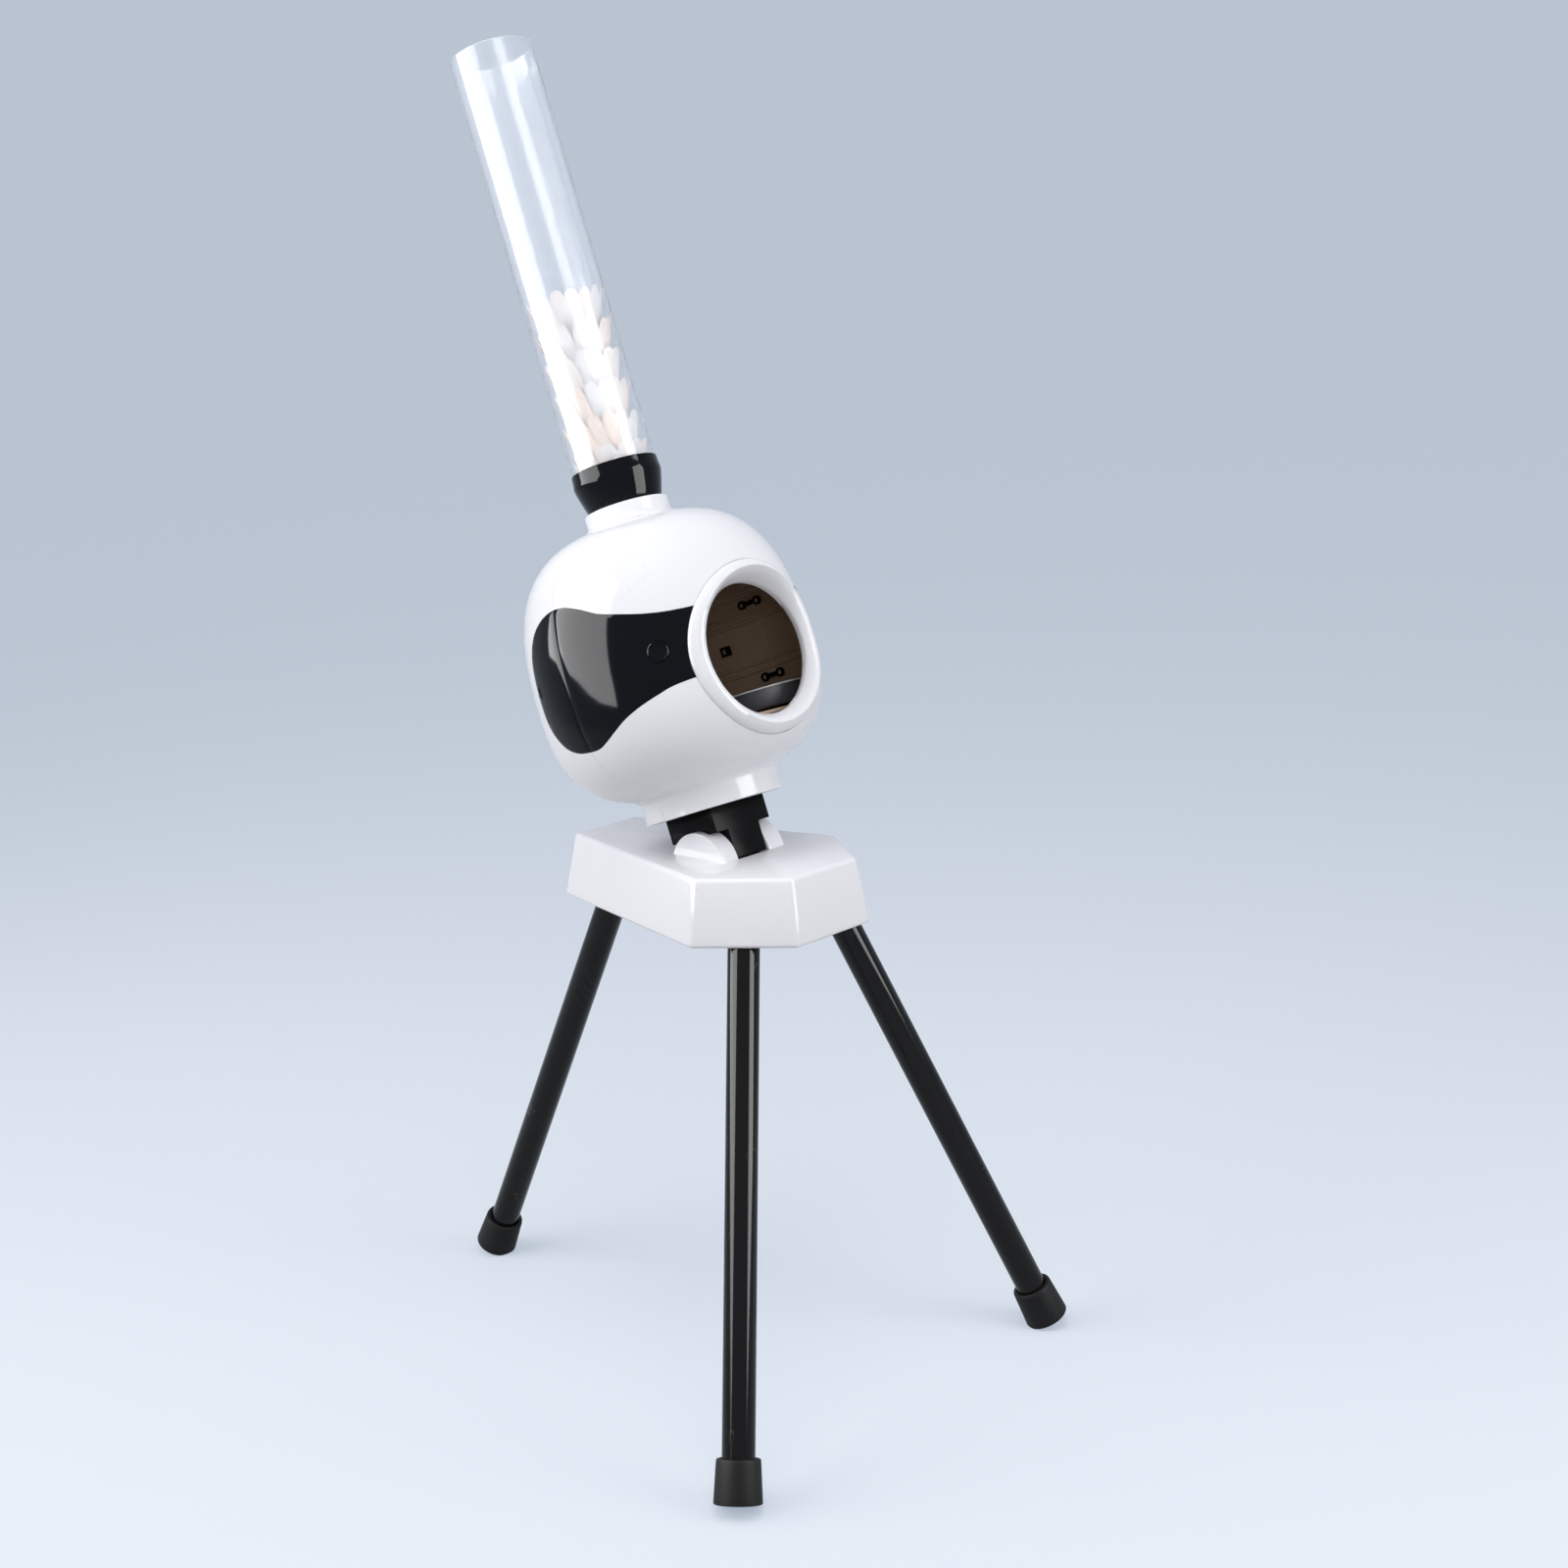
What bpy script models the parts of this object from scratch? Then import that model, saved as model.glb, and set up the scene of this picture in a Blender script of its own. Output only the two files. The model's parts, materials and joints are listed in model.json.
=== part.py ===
"""Shuttlecock serving machine: a round head with a clear magazine tube, on a six-sided base with three legs.

Metres, +Z up. The machine throws towards -Y. The origin is on the floor, under the middle of the machine.
Pieces of the head are modelled upright round the head's own middle, the centre of the launch port's circle,
and hang from the tilt axis through two empties, so that one angle leans the whole head back.
"""

import math

import bmesh
import bpy
from mathutils import Matrix, Vector

# Clearance between pieces that touch, and the overshoot of a cutter past what it cuts
GAP = 0.0003
PAST = 0.004

# Stand
LEG_LENGTH = 0.500
LEG_INSERT = 0.04811
LEG_RADIUS = 0.0138
LEG_WALL = 0.0012
FRONT_LEG_X = 0.0597
FRONT_LEG_Y = -0.0771
REAR_LEG_Y = 0.140
FRONT_FOOT_X = 0.2113
FRONT_FOOT_Y = -0.1889
REAR_FOOT_Y = 0.3537
FOOT_RADIUS = 0.0202
FOOT_NECK_RADIUS = 0.0183
FOOT_HEIGHT = 0.036
FOOT_FLOOR = 0.004
FOOT_LIP = 0.0012
FOOT_PRESS = 0.0015
SOCKET_WALL = 0.002
SOCKET_SINK = 0.02
FRONT_SPREAD = math.hypot(FRONT_FOOT_X - FRONT_LEG_X, FRONT_FOOT_Y - FRONT_LEG_Y)
FRONT_SPAN = LEG_LENGTH - LEG_INSERT + FOOT_FLOOR
FRONT_LIFT = FOOT_RADIUS * FRONT_SPREAD / FRONT_SPAN - FOOT_PRESS
STAND_HEIGHT = FRONT_LIFT + math.sqrt(FRONT_SPAN**2 - FRONT_SPREAD**2)

# Base housing, seen from above: a triangle with its corners cut off, one cut side facing the rear leg
BASE_FRONT = 0.118
BASE_REAR = 0.152
BASE_WIDEST_Y = -0.0513
BASE_HALF_WIDTH = 0.090
BASE_FRONT_HALF = 0.0418
BASE_REAR_HALF = 0.0381
BASE_HEIGHT = 0.058
BASE_DRAFT = 0.0100
BASE_WALL = 0.0025
BASE_EDGE = 0.0028
PLATE_THICKNESS = 0.003
PLATE_INSET = 0.0005
BOSS_RADIUS = 0.0045
SCREW_SPOTS = ((-0.072, -0.034), (0.072, -0.034), (-0.037, 0.112), (0.037, 0.112))
SCREW_RADIUS = 0.0015
SCREW_LENGTH = 0.010
SCREW_HEAD_RADIUS = 0.0034
SCREW_HEAD_HEIGHT = 0.0018

# Tilt hinge
HINGE_DROP = 0.0097
HINGE_AHEAD = 0.0064
EAR_RADIUS = 0.032
EAR_INNER_X = 0.0195
EAR_OUTER_X = 0.039
PIN_RADIUS = 0.004
PIN_COVER = 0.003
KNUCKLE_RADIUS = 0.020
TONGUE_FRONT = 0.0296
SLOT_PLAY = 0.0013
SLOT_REAR = 0.0287
BRACKET_HALF_WIDTH = 0.0335
BRACKET_REAR = 0.0288
BRACKET_BOTTOM = 0.0262
TILT_BACK = 19.7

# Battery bay and control board
PACK_WIDTH = 0.066
PACK_LENGTH = 0.062
PACK_HEIGHT = 0.022
PACK_Y = 0.069
TRAY_WALL = 0.002
DOOR_THICKNESS = 0.0022
DOOR_PIN_RADIUS = 0.0016
DOOR_STUB_RADIUS = 0.0008
DOOR_STUB = 0.0012
BOARD_WIDTH = 0.044
BOARD_LENGTH = 0.052
BOARD_THICKNESS = 0.0016
BOARD_Y = -0.076
POST_HEIGHT = 0.008
POST_RADIUS = 0.0025

# Head shell, a turned barrel; its middle lies HEAD_LIFT up the tilted axis from the hinge
HEAD_LIFT = 0.1671
HEAD_AHEAD = 0.0018
HEAD_RADIUS = 0.125
HEAD_UP = 0.142
HEAD_DOWN = 0.1015
HEAD_WALL = 0.003
UP_POWER = 2.6
OUT_POWER = 3.2
SKIRT_RADIUS = 0.0617
SKIRT_FLARE = 0.0009
SKIRT_BOTTOM = 0.119
SKIRT_FILLET = 0.0055
FLOOR_THICKNESS = 0.004
SHELL_STEPS = 44

# Launch port
PORT_RADIUS = 0.0577
PORT_EDGE_Y = HEAD_RADIUS - 0.0207
RING_RADIUS = 0.075
RING_CREST_RADIUS = 0.0675
RING_CREST = 0.0045
RING_LIP = 0.003
RING_BACK_Y = HEAD_RADIUS - 0.031
RING_STEPS = 44

# Visor panels, let into the shell: outline in side view, as (distance ahead of the axis, height)
VISOR_THICKNESS = 0.0014
VISOR_OUTLINE = (
    (0.120, 0.0440), (0.098, 0.0460), (0.082, 0.0495), (0.064, 0.0555), (0.046, 0.0620), (0.031, 0.0700),
    (0.012, 0.0772), (-0.005, 0.0778), (-0.022, 0.0730), (-0.038, 0.0620), (-0.048, 0.0450),
    (-0.0523, 0.0207), (-0.0510, -0.0040), (-0.0440, -0.0210), (-0.0310, -0.0360), (-0.0150, -0.0435),
    (0.007, -0.0458), (0.020, -0.0422), (0.033, -0.0357), (0.046, -0.0287), (0.061, -0.0225),
    (0.076, -0.0175), (0.090, -0.0135), (0.120, -0.0110),
)
LUG_SIZE = 0.008
LUG_AHEAD = -0.044
LUG_HEIGHT = 0.017
LUG_REACH = 0.007

# Power button on the left visor, its middle BUTTON_BESIDE from the port ring's edge
BUTTON_BESIDE = 0.01933
BUTTON_HEIGHT = 0.0165
BUTTON_RADIUS = 0.0094
BUTTON_DEPTH = 0.0065
BUTTON_FLANGE = 0.0016
BUTTON_TRAVEL = 0.0015
BUTTON_ROOM_DEPTH = 0.02
SWITCH_RADIUS = 0.014
SWITCH_DEPTH = 0.012
SWITCH_FLOOR = 0.003

# Neck, tube collar and magazine tube
NECK_RADIUS = 0.0378
NECK_TOP = 0.157
NECK_BORE = 0.0330
NECK_FOOT_RADIUS = 0.0425
NECK_FOOT = 0.0016
SLEEVE_WALL = 0.002
SLEEVE_BOTTOM = 0.104
COLLAR_HEIGHT = 0.0368
COLLAR_TOP_RADIUS = 0.0388
COLLAR_WIDE_RADIUS = 0.0397
COLLAR_WIDE_DROP = 0.0115
COLLAR_SPIGOT = 0.012
COLLAR_BORE = 0.0313
TUBE_RADIUS = 0.0375
TUBE_WALL = 0.0015
TUBE_LENGTH = 0.395
TUBE_SEAT = 0.015

# Shuttlecocks, nested cork down
SHUTTLE_COUNT = 7
SHUTTLE_HEIGHT = 0.085
SHUTTLE_PITCH = 0.028
CORK_RADIUS = 0.013
CORK_HEIGHT = 0.025
SKIRT_TIP_RADIUS = 0.0325
COLLAR_PLAY = 0.001
SKIRT_ROOT_RADIUS = 0.0122
FEATHER_THICKNESS = 0.0011
STACK_BOTTOM = 0.0965

# Feed gate and its servo
GATE_BACK = 0.044
GATE_THICKNESS = 0.003
GATE_WIDTH = 0.014
GATE_REACH = 0.050
GATE_HUB_RADIUS = 0.0075
SERVO_WIDTH = 0.012
SERVO_LENGTH = 0.0225
SERVO_HEIGHT = 0.024
SERVO_LIFT = 0.008
SERVO_SHAFT_RADIUS = 0.0025
PAD_WIDTH = 0.018
PAD_LENGTH = 0.014
PAD_AHEAD = 0.002
PAD_SINK = 0.0048

# Launch deck, flywheels, motors and pusher. The wheels fill the head's width, but for the gap between them
# and the room they keep to its side, both of which set their radius
DECK_TOP = -0.053
DECK_THICKNESS = 0.003
DECK_FRONT = HEAD_RADIUS - 0.038
WHEEL_GAP = 0.024
WHEEL_AHEAD = 0.030
WHEEL_ROOM = 0.0137
WHEEL_REACH = HEAD_RADIUS - WHEEL_ROOM
WHEEL_RADIUS = (WHEEL_REACH**2 - WHEEL_AHEAD**2 - WHEEL_GAP**2 / 4) / (2 * WHEEL_REACH + WHEEL_GAP)
WHEEL_X = WHEEL_GAP / 2 + WHEEL_RADIUS
WHEEL_TOP = -0.031
WHEEL_THICKNESS = 0.0185
TYRE_DEPTH = 0.012
HUB_RADIUS = WHEEL_RADIUS - TYRE_DEPTH
HUB_BORE = 0.0013
TYRE_CROWN = 0.0012
MOTOR_RADIUS = 0.0139
MOTOR_LENGTH = 0.029
MOTOR_SHAFT_RADIUS = 0.0010
MOTOR_BOSS_RADIUS = 0.005
GUIDE_HEIGHT = 0.012
GUIDE_THICKNESS = 0.0025
GUIDE_LENGTH = 0.020
PUSHER_RADIUS = 0.003
PUSHER_PAD_RADIUS = 0.008
PUSHER_PAD = 0.0025
PUSHER_RISE = 0.0125
SOLENOID_WIDTH = 0.022
SOLENOID_FRONT = 0.040
SOLENOID_LENGTH = 0.034

# Clips that tie the two shells together at the seam
CLIP_HEIGHTS = (0.052, -0.017)
CLIP_LENGTH = 0.020
CLIP_END_RADIUS = 0.0042
CLIP_BAR_WIDTH = 0.0042
CLIP_THICKNESS = 0.003
CLIP_STEP = 0.0003

BASE_TOP = STAND_HEIGHT + BASE_HEIGHT
HINGE_Z = BASE_TOP - HINGE_DROP


def clear_scene():
    for old in list(bpy.data.objects):
        bpy.data.objects.remove(old)


def new_collection(name):
    made = bpy.data.collections.new(name)
    bpy.context.scene.collection.children.link(made)
    return made


clear_scene()
machine = new_collection("shuttlecock_machine")
cutters = new_collection("cutters")


def finish(name, color, roughness, metallic=0.0, alpha=1.0):
    made = bpy.data.materials.new(name)
    made.use_nodes = True
    shader = made.node_tree.nodes["Principled BSDF"]
    shader.inputs["Base Color"].default_value = (*color, 1)
    shader.inputs["Roughness"].default_value = roughness
    shader.inputs["Metallic"].default_value = metallic
    shader.inputs["Alpha"].default_value = alpha
    made.diffuse_color = (*color, alpha)
    return made


WHITE = finish("white_gloss_plastic", (0.86, 0.86, 0.88), 0.18)
BLACK = finish("black_gloss_plastic", (0.012, 0.012, 0.015), 0.12)
SATIN_BLACK = finish("satin_black_plastic", (0.02, 0.02, 0.023), 0.4)
LEG_BLACK = finish("black_painted_tube", (0.010, 0.010, 0.011), 0.16)
RUBBER = finish("black_rubber", (0.022, 0.021, 0.021), 0.75)
CLEAR = finish("clear_plastic", (0.93, 0.95, 0.97), 0.05, alpha=0.25)
FEATHER = finish("white_feather", (0.82, 0.82, 0.80), 0.6)
STEEL = finish("steel", (0.62, 0.62, 0.64), 0.3, metallic=1.0)
GREY = finish("dark_grey_foam_rubber", (0.06, 0.06, 0.065), 0.7)
BROWN = finish("brown_plastic", (0.07, 0.045, 0.03), 0.45)
GREEN = finish("circuit_board", (0.02, 0.12, 0.05), 0.5)
BLUE = finish("battery_wrap", (0.03, 0.10, 0.35), 0.35)

stand_frame = bpy.data.objects.new("stand_frame", None)
tilt_axis = bpy.data.objects.new("tilt_axis", None)
head_middle = bpy.data.objects.new("head_middle", None)
for empty, carrier in ((stand_frame, None), (tilt_axis, stand_frame), (head_middle, tilt_axis)):
    machine.objects.link(empty)
    empty.parent = carrier


def keep(piece, material, carrier, place=(0, 0, 0), turn=(0, 0, 0), helper=False):
    """Puts a made object in its collection, on its carrier, with its finish."""
    (cutters if helper else machine).objects.link(piece)
    piece.parent = carrier
    piece.location = place
    piece.rotation_euler = turn
    if material:
        piece.data.materials.append(material)
    if helper:
        piece.hide_render = True
        piece.display_type = "WIRE"
    return piece


def smooth(mesh, angle=35):
    for polygon in mesh.polygons:
        polygon.use_smooth = True
    mesh.set_sharp_from_angle(angle=math.radians(angle))


def mesh_object(name, build):
    """A new object whose mesh the function build makes in a bmesh."""
    shape = bmesh.new()
    build(shape)
    bmesh.ops.recalc_face_normals(shape, faces=shape.faces)
    if shape.calc_volume(signed=True) < 0:
        bmesh.ops.reverse_faces(shape, faces=shape.faces)
    mesh = bpy.data.meshes.new(name)
    shape.to_mesh(mesh)
    shape.free()
    smooth(mesh)
    return bpy.data.objects.new(name, mesh)


def box(name, low, high, material=None, carrier=None, helper=True, **placing):
    """A box between two corners."""
    low, high = Vector(low), Vector(high)

    def build(shape):
        bmesh.ops.create_cube(shape, size=1.0)
        for corner in shape.verts:
            corner.co = Vector(a + (b - a) * (c + 0.5) for a, b, c in zip(low, high, corner.co))

    return keep(mesh_object(name, build), material, carrier, helper=helper, **placing)


def rod(name, radius, start, end, material=None, carrier=None, helper=True, sides=24, end_radius=None,
        **placing):
    """A cylinder or cone from one point to another."""
    start, end = Vector(start), Vector(end)
    along = end - start

    def build(shape):
        bmesh.ops.create_cone(
            shape, cap_ends=True, segments=sides, radius1=radius,
            radius2=radius if end_radius is None else end_radius, depth=along.length,
        )
        turned_to = along.to_track_quat("Z", "X").to_matrix().to_4x4()
        shape.transform(Matrix.Translation((start + end) / 2) @ turned_to)

    return keep(mesh_object(name, build), material, carrier, helper=helper, **placing)


def turned(name, profile, material=None, carrier=None, helper=False, steps=SHELL_STEPS, **placing):
    """A closed outline of (radius, height) turned about Z, given down the outer side and back up the inner."""

    def build(shape):
        points = [shape.verts.new((radius, 0, height)) for radius, height in profile]
        closed = min(radius for radius, _ in profile) > 0
        for a, b in zip(points, points[1:] + points[:1] if closed else points[1:]):
            shape.edges.new((a, b))

    made = keep(mesh_object(name, build), material, carrier, helper=helper, **placing)
    screw = made.modifiers.new("turn", "SCREW")
    screw.steps = screw.render_steps = steps
    screw.use_merge_vertices = True
    screw.merge_threshold = 0.00005
    screw.use_smooth_shade = True
    return made


def boolean(piece, other, operation):
    made = piece.modifiers.new(operation.lower(), "BOOLEAN")
    made.operation = operation
    made.solver = "EXACT"
    made.object = other


def cut(piece, *others):
    for other in others:
        boolean(piece, other, "DIFFERENCE")


def fuse(piece, *others):
    for other in others:
        boolean(piece, other, "UNION")


def common(piece, other):
    boolean(piece, other, "INTERSECT")


def along_curve(points, per_span=4):
    """A smooth line through the points, as a Catmull-Rom spline."""
    spread = [points[0], *points, points[-1]]
    line = []
    for p0, p1, p2, p3 in zip(spread, spread[1:], spread[2:], spread[3:]):
        for step in range(per_span):
            t = step / per_span
            line.append(tuple(
                b + 0.5 * t * (c - a + t * (2 * a - 5 * b + 4 * c - d + t * (3 * b - a - 3 * c + d)))
                for a, b, c, d in zip(p0, p1, p2, p3)
            ))
    return line + [points[-1]]


def grown(outline, distance):
    """The closed outline with each point moved outwards, square to its two neighbours."""
    area = sum(a[0] * b[1] - b[0] * a[1] for a, b in zip(outline, outline[1:] + outline[:1]))
    side = math.copysign(distance, area)
    moved = []
    for before, point, after in zip(outline[-1:] + outline[:-1], outline, outline[1:] + outline[:1]):
        run = Vector(after) - Vector(before)
        run.normalize()
        moved.append((point[0] + run.y * side, point[1] - run.x * side))
    return moved


def prism(name, outline, low, high, axes, material=None, carrier=None, helper=True, **placing):
    """A flat outline given on two axes and filled, then drawn out along the third from low to high."""

    def build(shape):
        third = 3 - sum(axes)
        ring = []
        for a, b in outline:
            point = [0.0, 0.0, 0.0]
            point[axes[0]], point[axes[1]], point[third] = a, b, low
            ring.append(shape.verts.new(point))
        face = shape.faces.new(ring)
        drawn = bmesh.ops.extrude_face_region(shape, geom=[face])
        offset = [0.0, 0.0, 0.0]
        offset[third] = high - low
        moved = [v for v in drawn["geom"] if isinstance(v, bmesh.types.BMVert)]
        bmesh.ops.translate(shape, verts=moved, vec=offset)

    return keep(mesh_object(name, build), material, carrier, helper=helper, **placing)


# Legs, their sockets and feet

def leg_line(side):
    """Where a leg's axis meets the base's underside and its foot, and the unit vector down along it."""
    top = Vector((side * FRONT_LEG_X, FRONT_LEG_Y, 0)) if side else Vector((0, REAR_LEG_Y, 0))
    foot = Vector((side * FRONT_FOOT_X, FRONT_FOOT_Y, 0)) if side else Vector((0, REAR_FOOT_Y, 0))
    splay = math.atan2((foot - top).length, STAND_HEIGHT)
    lift = FOOT_RADIUS * math.sin(splay) - FOOT_PRESS
    top.z, foot.z = STAND_HEIGHT, lift
    return top, foot, (foot - top).normalized()


def foot_reach(side):
    """How far forward or back a foot's lower rim reaches."""
    _, foot, down = leg_line(side)
    return foot.y + math.copysign(FOOT_RADIUS * math.sqrt(1 - down.y**2), foot.y)


def make_leg(name, side):
    top, foot, down = leg_line(side)
    low_end = foot - down * FOOT_FLOOR
    high_end = low_end - down * LEG_LENGTH
    leg = rod(f"leg_{name}", LEG_RADIUS, high_end, low_end, LEG_BLACK, stand_frame, helper=False, sides=32)
    bore = rod(f"leg_{name}_bore", LEG_RADIUS - LEG_WALL, high_end - down * PAST, low_end + down * PAST,
               carrier=stand_frame)
    cut(leg, bore)

    pressed = box(f"floor_under_{name}", (-1, -1, -0.1), (1, 1, 0), carrier=stand_frame)
    cap = rod(f"foot_{name}", FOOT_RADIUS, foot, foot - down * (FOOT_HEIGHT - FOOT_LIP), RUBBER, stand_frame,
              helper=False, sides=32, end_radius=FOOT_NECK_RADIUS)
    lip = rod(f"foot_{name}_lip", LEG_RADIUS + GAP + 0.0022, foot - down * FOOT_HEIGHT / 2,
              foot - down * FOOT_HEIGHT, carrier=stand_frame, sides=32)
    hold = rod(f"foot_{name}_bore", LEG_RADIUS + GAP, low_end + down * GAP, foot - down * (FOOT_HEIGHT + PAST),
               carrier=stand_frame, sides=32)
    fuse(cap, lip)
    cut(cap, hold, pressed)

    mouth = top + down * SOCKET_SINK
    end = high_end - down * (GAP + SOCKET_WALL)
    socket = rod(f"leg_socket_{name}", LEG_RADIUS + GAP + SOCKET_WALL, mouth, end, SATIN_BLACK, stand_frame,
                 helper=False, sides=32)
    seat = rod(f"leg_socket_{name}_bore", LEG_RADIUS + GAP, mouth + down * PAST, high_end - down * GAP,
               carrier=stand_frame, sides=32)
    below = box(f"below_base_{name}", (-0.3, -0.3, STAND_HEIGHT - 0.1), (0.3, 0.3, STAND_HEIGHT + PLATE_INSET),
                carrier=stand_frame)
    cut(socket, seat, below)
    return rod(f"socket_room_{name}", LEG_RADIUS + GAP + SOCKET_WALL + GAP, mouth, end - down * GAP,
               carrier=stand_frame, sides=32)


# Base housing with the hinge ears, and the plate under it

def base_outline(grow):
    """The base's six corners as seen from above, each side moved out by grow."""
    corners = [
        (-BASE_REAR_HALF, BASE_REAR), (-BASE_HALF_WIDTH, BASE_WIDEST_Y), (-BASE_FRONT_HALF, -BASE_FRONT),
        (BASE_FRONT_HALF, -BASE_FRONT), (BASE_HALF_WIDTH, BASE_WIDEST_Y), (BASE_REAR_HALF, BASE_REAR),
    ]
    moved = []
    for before, point, after in zip(corners[-1:] + corners[:-1], corners, corners[1:] + corners[:1]):
        before, point, after = Vector(before), Vector(point), Vector(after)
        first = Vector(((point - before).y, -(point - before).x)).normalized()
        second = Vector(((after - point).y, -(after - point).x)).normalized()
        if first.dot(point) < 0:
            first = -first
        if second.dot(point) < 0:
            second = -second
        moved.append(point + (first + second) * grow / (1 + first.dot(second)))
    return moved


def hexagon(name, levels, **placing):
    """A solid through the base's outline at several heights, given as (grow, height) from the bottom up."""

    def build(shape):
        rings = [[shape.verts.new((p.x, p.y, z)) for p in base_outline(grow)] for grow, z in levels]
        shape.faces.new(rings[0])
        shape.faces.new(rings[-1])
        for low, high in zip(rings, rings[1:]):
            for i in range(6):
                shape.faces.new((low[i - 1], low[i], high[i], high[i - 1]))

    return keep(mesh_object(name, build), None, stand_frame, **placing)


def grow_at(z):
    """How far the drafted side stands out at a height over the base's underside."""
    return BASE_DRAFT * (1 - z / BASE_HEIGHT)


def make_housing(socket_rooms):
    housing = hexagon("base_housing", ((BASE_DRAFT, STAND_HEIGHT), (0, BASE_TOP)))
    housing.data.materials.append(WHITE)
    edges = housing.modifiers.new("edges", "BEVEL")
    edges.width = BASE_EDGE
    edges.segments = 3
    edges.limit_method = "ANGLE"
    edges.angle_limit = math.radians(20)
    low, high = -0.02, BASE_HEIGHT - BASE_WALL
    inside = hexagon("base_inside", ((grow_at(low) - BASE_WALL, STAND_HEIGHT + low),
                                     (grow_at(high) - BASE_WALL, STAND_HEIGHT + high)), helper=True)
    foot_trim = box("base_foot_trim", (-0.2, -0.3, STAND_HEIGHT - 0.02), (0.2, 0.3, STAND_HEIGHT + 0.0001),
                    carrier=stand_frame)
    slot = box("tongue_slot", (-EAR_INNER_X, -HINGE_AHEAD - TONGUE_FRONT - SLOT_PLAY, HINGE_Z - KNUCKLE_RADIUS),
               (EAR_INNER_X, -HINGE_AHEAD + SLOT_REAR, BASE_TOP + PAST), carrier=stand_frame)
    cut(housing, inside, foot_trim, *socket_rooms)
    for side in (-1, 1):
        ear = rod(f"ear_{side}", EAR_RADIUS, (side * EAR_INNER_X, -HINGE_AHEAD, HINGE_Z),
                  (side * EAR_OUTER_X, -HINGE_AHEAD, HINGE_Z), carrier=stand_frame, sides=48)
        fuse(housing, ear)
    for i, (x, y) in enumerate(SCREW_SPOTS):
        boss = rod(f"boss_{i}", BOSS_RADIUS, (x, y, STAND_HEIGHT + PLATE_INSET + PLATE_THICKNESS + GAP),
                   (x, y, BASE_TOP - BASE_WALL / 2), carrier=stand_frame, sides=16)
        pilot = rod(f"pilot_{i}", SCREW_RADIUS + GAP, (x, y, STAND_HEIGHT),
                    (x, y, STAND_HEIGHT + PLATE_INSET + SCREW_LENGTH + 0.004), carrier=stand_frame, sides=16)
        fuse(housing, boss)
        cut(housing, pilot)
    pin_room = rod("pin_room", PIN_RADIUS + GAP, (-EAR_OUTER_X + PIN_COVER, -HINGE_AHEAD, HINGE_Z),
                   (EAR_OUTER_X + PAST, -HINGE_AHEAD, HINGE_Z), carrier=stand_frame, sides=24)
    cut(housing, slot, pin_room)
    return pin_room


def make_plate(socket_rooms):
    low = PLATE_INSET
    high = PLATE_INSET + PLATE_THICKNESS
    clear = BASE_WALL + GAP
    plate = hexagon("base_plate", ((grow_at(low) - clear, STAND_HEIGHT + low),
                                   (grow_at(high) - clear, STAND_HEIGHT + high)))
    plate.data.materials.append(SATIN_BLACK)
    half_x, half_y = PACK_WIDTH / 2, PACK_LENGTH / 2
    tray_low = (-half_x - GAP - TRAY_WALL, PACK_Y - half_y - GAP - TRAY_WALL, STAND_HEIGHT + low)
    tray_high = (half_x + GAP + TRAY_WALL, PACK_Y + half_y + GAP + TRAY_WALL, STAND_HEIGHT + high + PACK_HEIGHT)
    tray = box("tray", tray_low, tray_high, carrier=stand_frame)
    bay = box("bay", (-half_x - GAP, PACK_Y - half_y - GAP, STAND_HEIGHT - 0.01),
              (half_x + GAP, PACK_Y + half_y + GAP, STAND_HEIGHT + 0.1), carrier=stand_frame)
    stub_y = PACK_Y + half_y - DOOR_PIN_RADIUS - GAP
    stub_z = STAND_HEIGHT + PLATE_INSET + DOOR_PIN_RADIUS
    stub_room = rod("stub_room", DOOR_STUB_RADIUS + GAP, (-half_x - DOOR_STUB - 2 * GAP, stub_y, stub_z),
                    (half_x + DOOR_STUB + 2 * GAP, stub_y, stub_z), carrier=stand_frame, sides=12)
    fuse(plate, tray)
    for x in (-1, 1):
        for y in (-1, 1):
            spot = (x * (BOARD_WIDTH / 2 - 0.004), BOARD_Y + y * (BOARD_LENGTH / 2 - 0.004))
            post = rod(f"post_{x}_{y}", POST_RADIUS, (*spot, STAND_HEIGHT + low + 0.001),
                       (*spot, STAND_HEIGHT + high + POST_HEIGHT), carrier=stand_frame, sides=12)
            fuse(plate, post)
    cut(plate, bay, stub_room, *socket_rooms)
    for i, (x, y) in enumerate(SCREW_SPOTS):
        hole = rod(f"screw_hole_{i}", SCREW_RADIUS + GAP, (x, y, STAND_HEIGHT - PAST),
                   (x, y, STAND_HEIGHT + SCREW_LENGTH), carrier=stand_frame, sides=16)
        sink = rod(f"screw_sink_{i}", SCREW_HEAD_RADIUS + GAP, (x, y, STAND_HEIGHT - PAST),
                   (x, y, STAND_HEIGHT + low + SCREW_HEAD_HEIGHT), carrier=stand_frame, sides=20)
        cut(plate, hole, sink)


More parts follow.
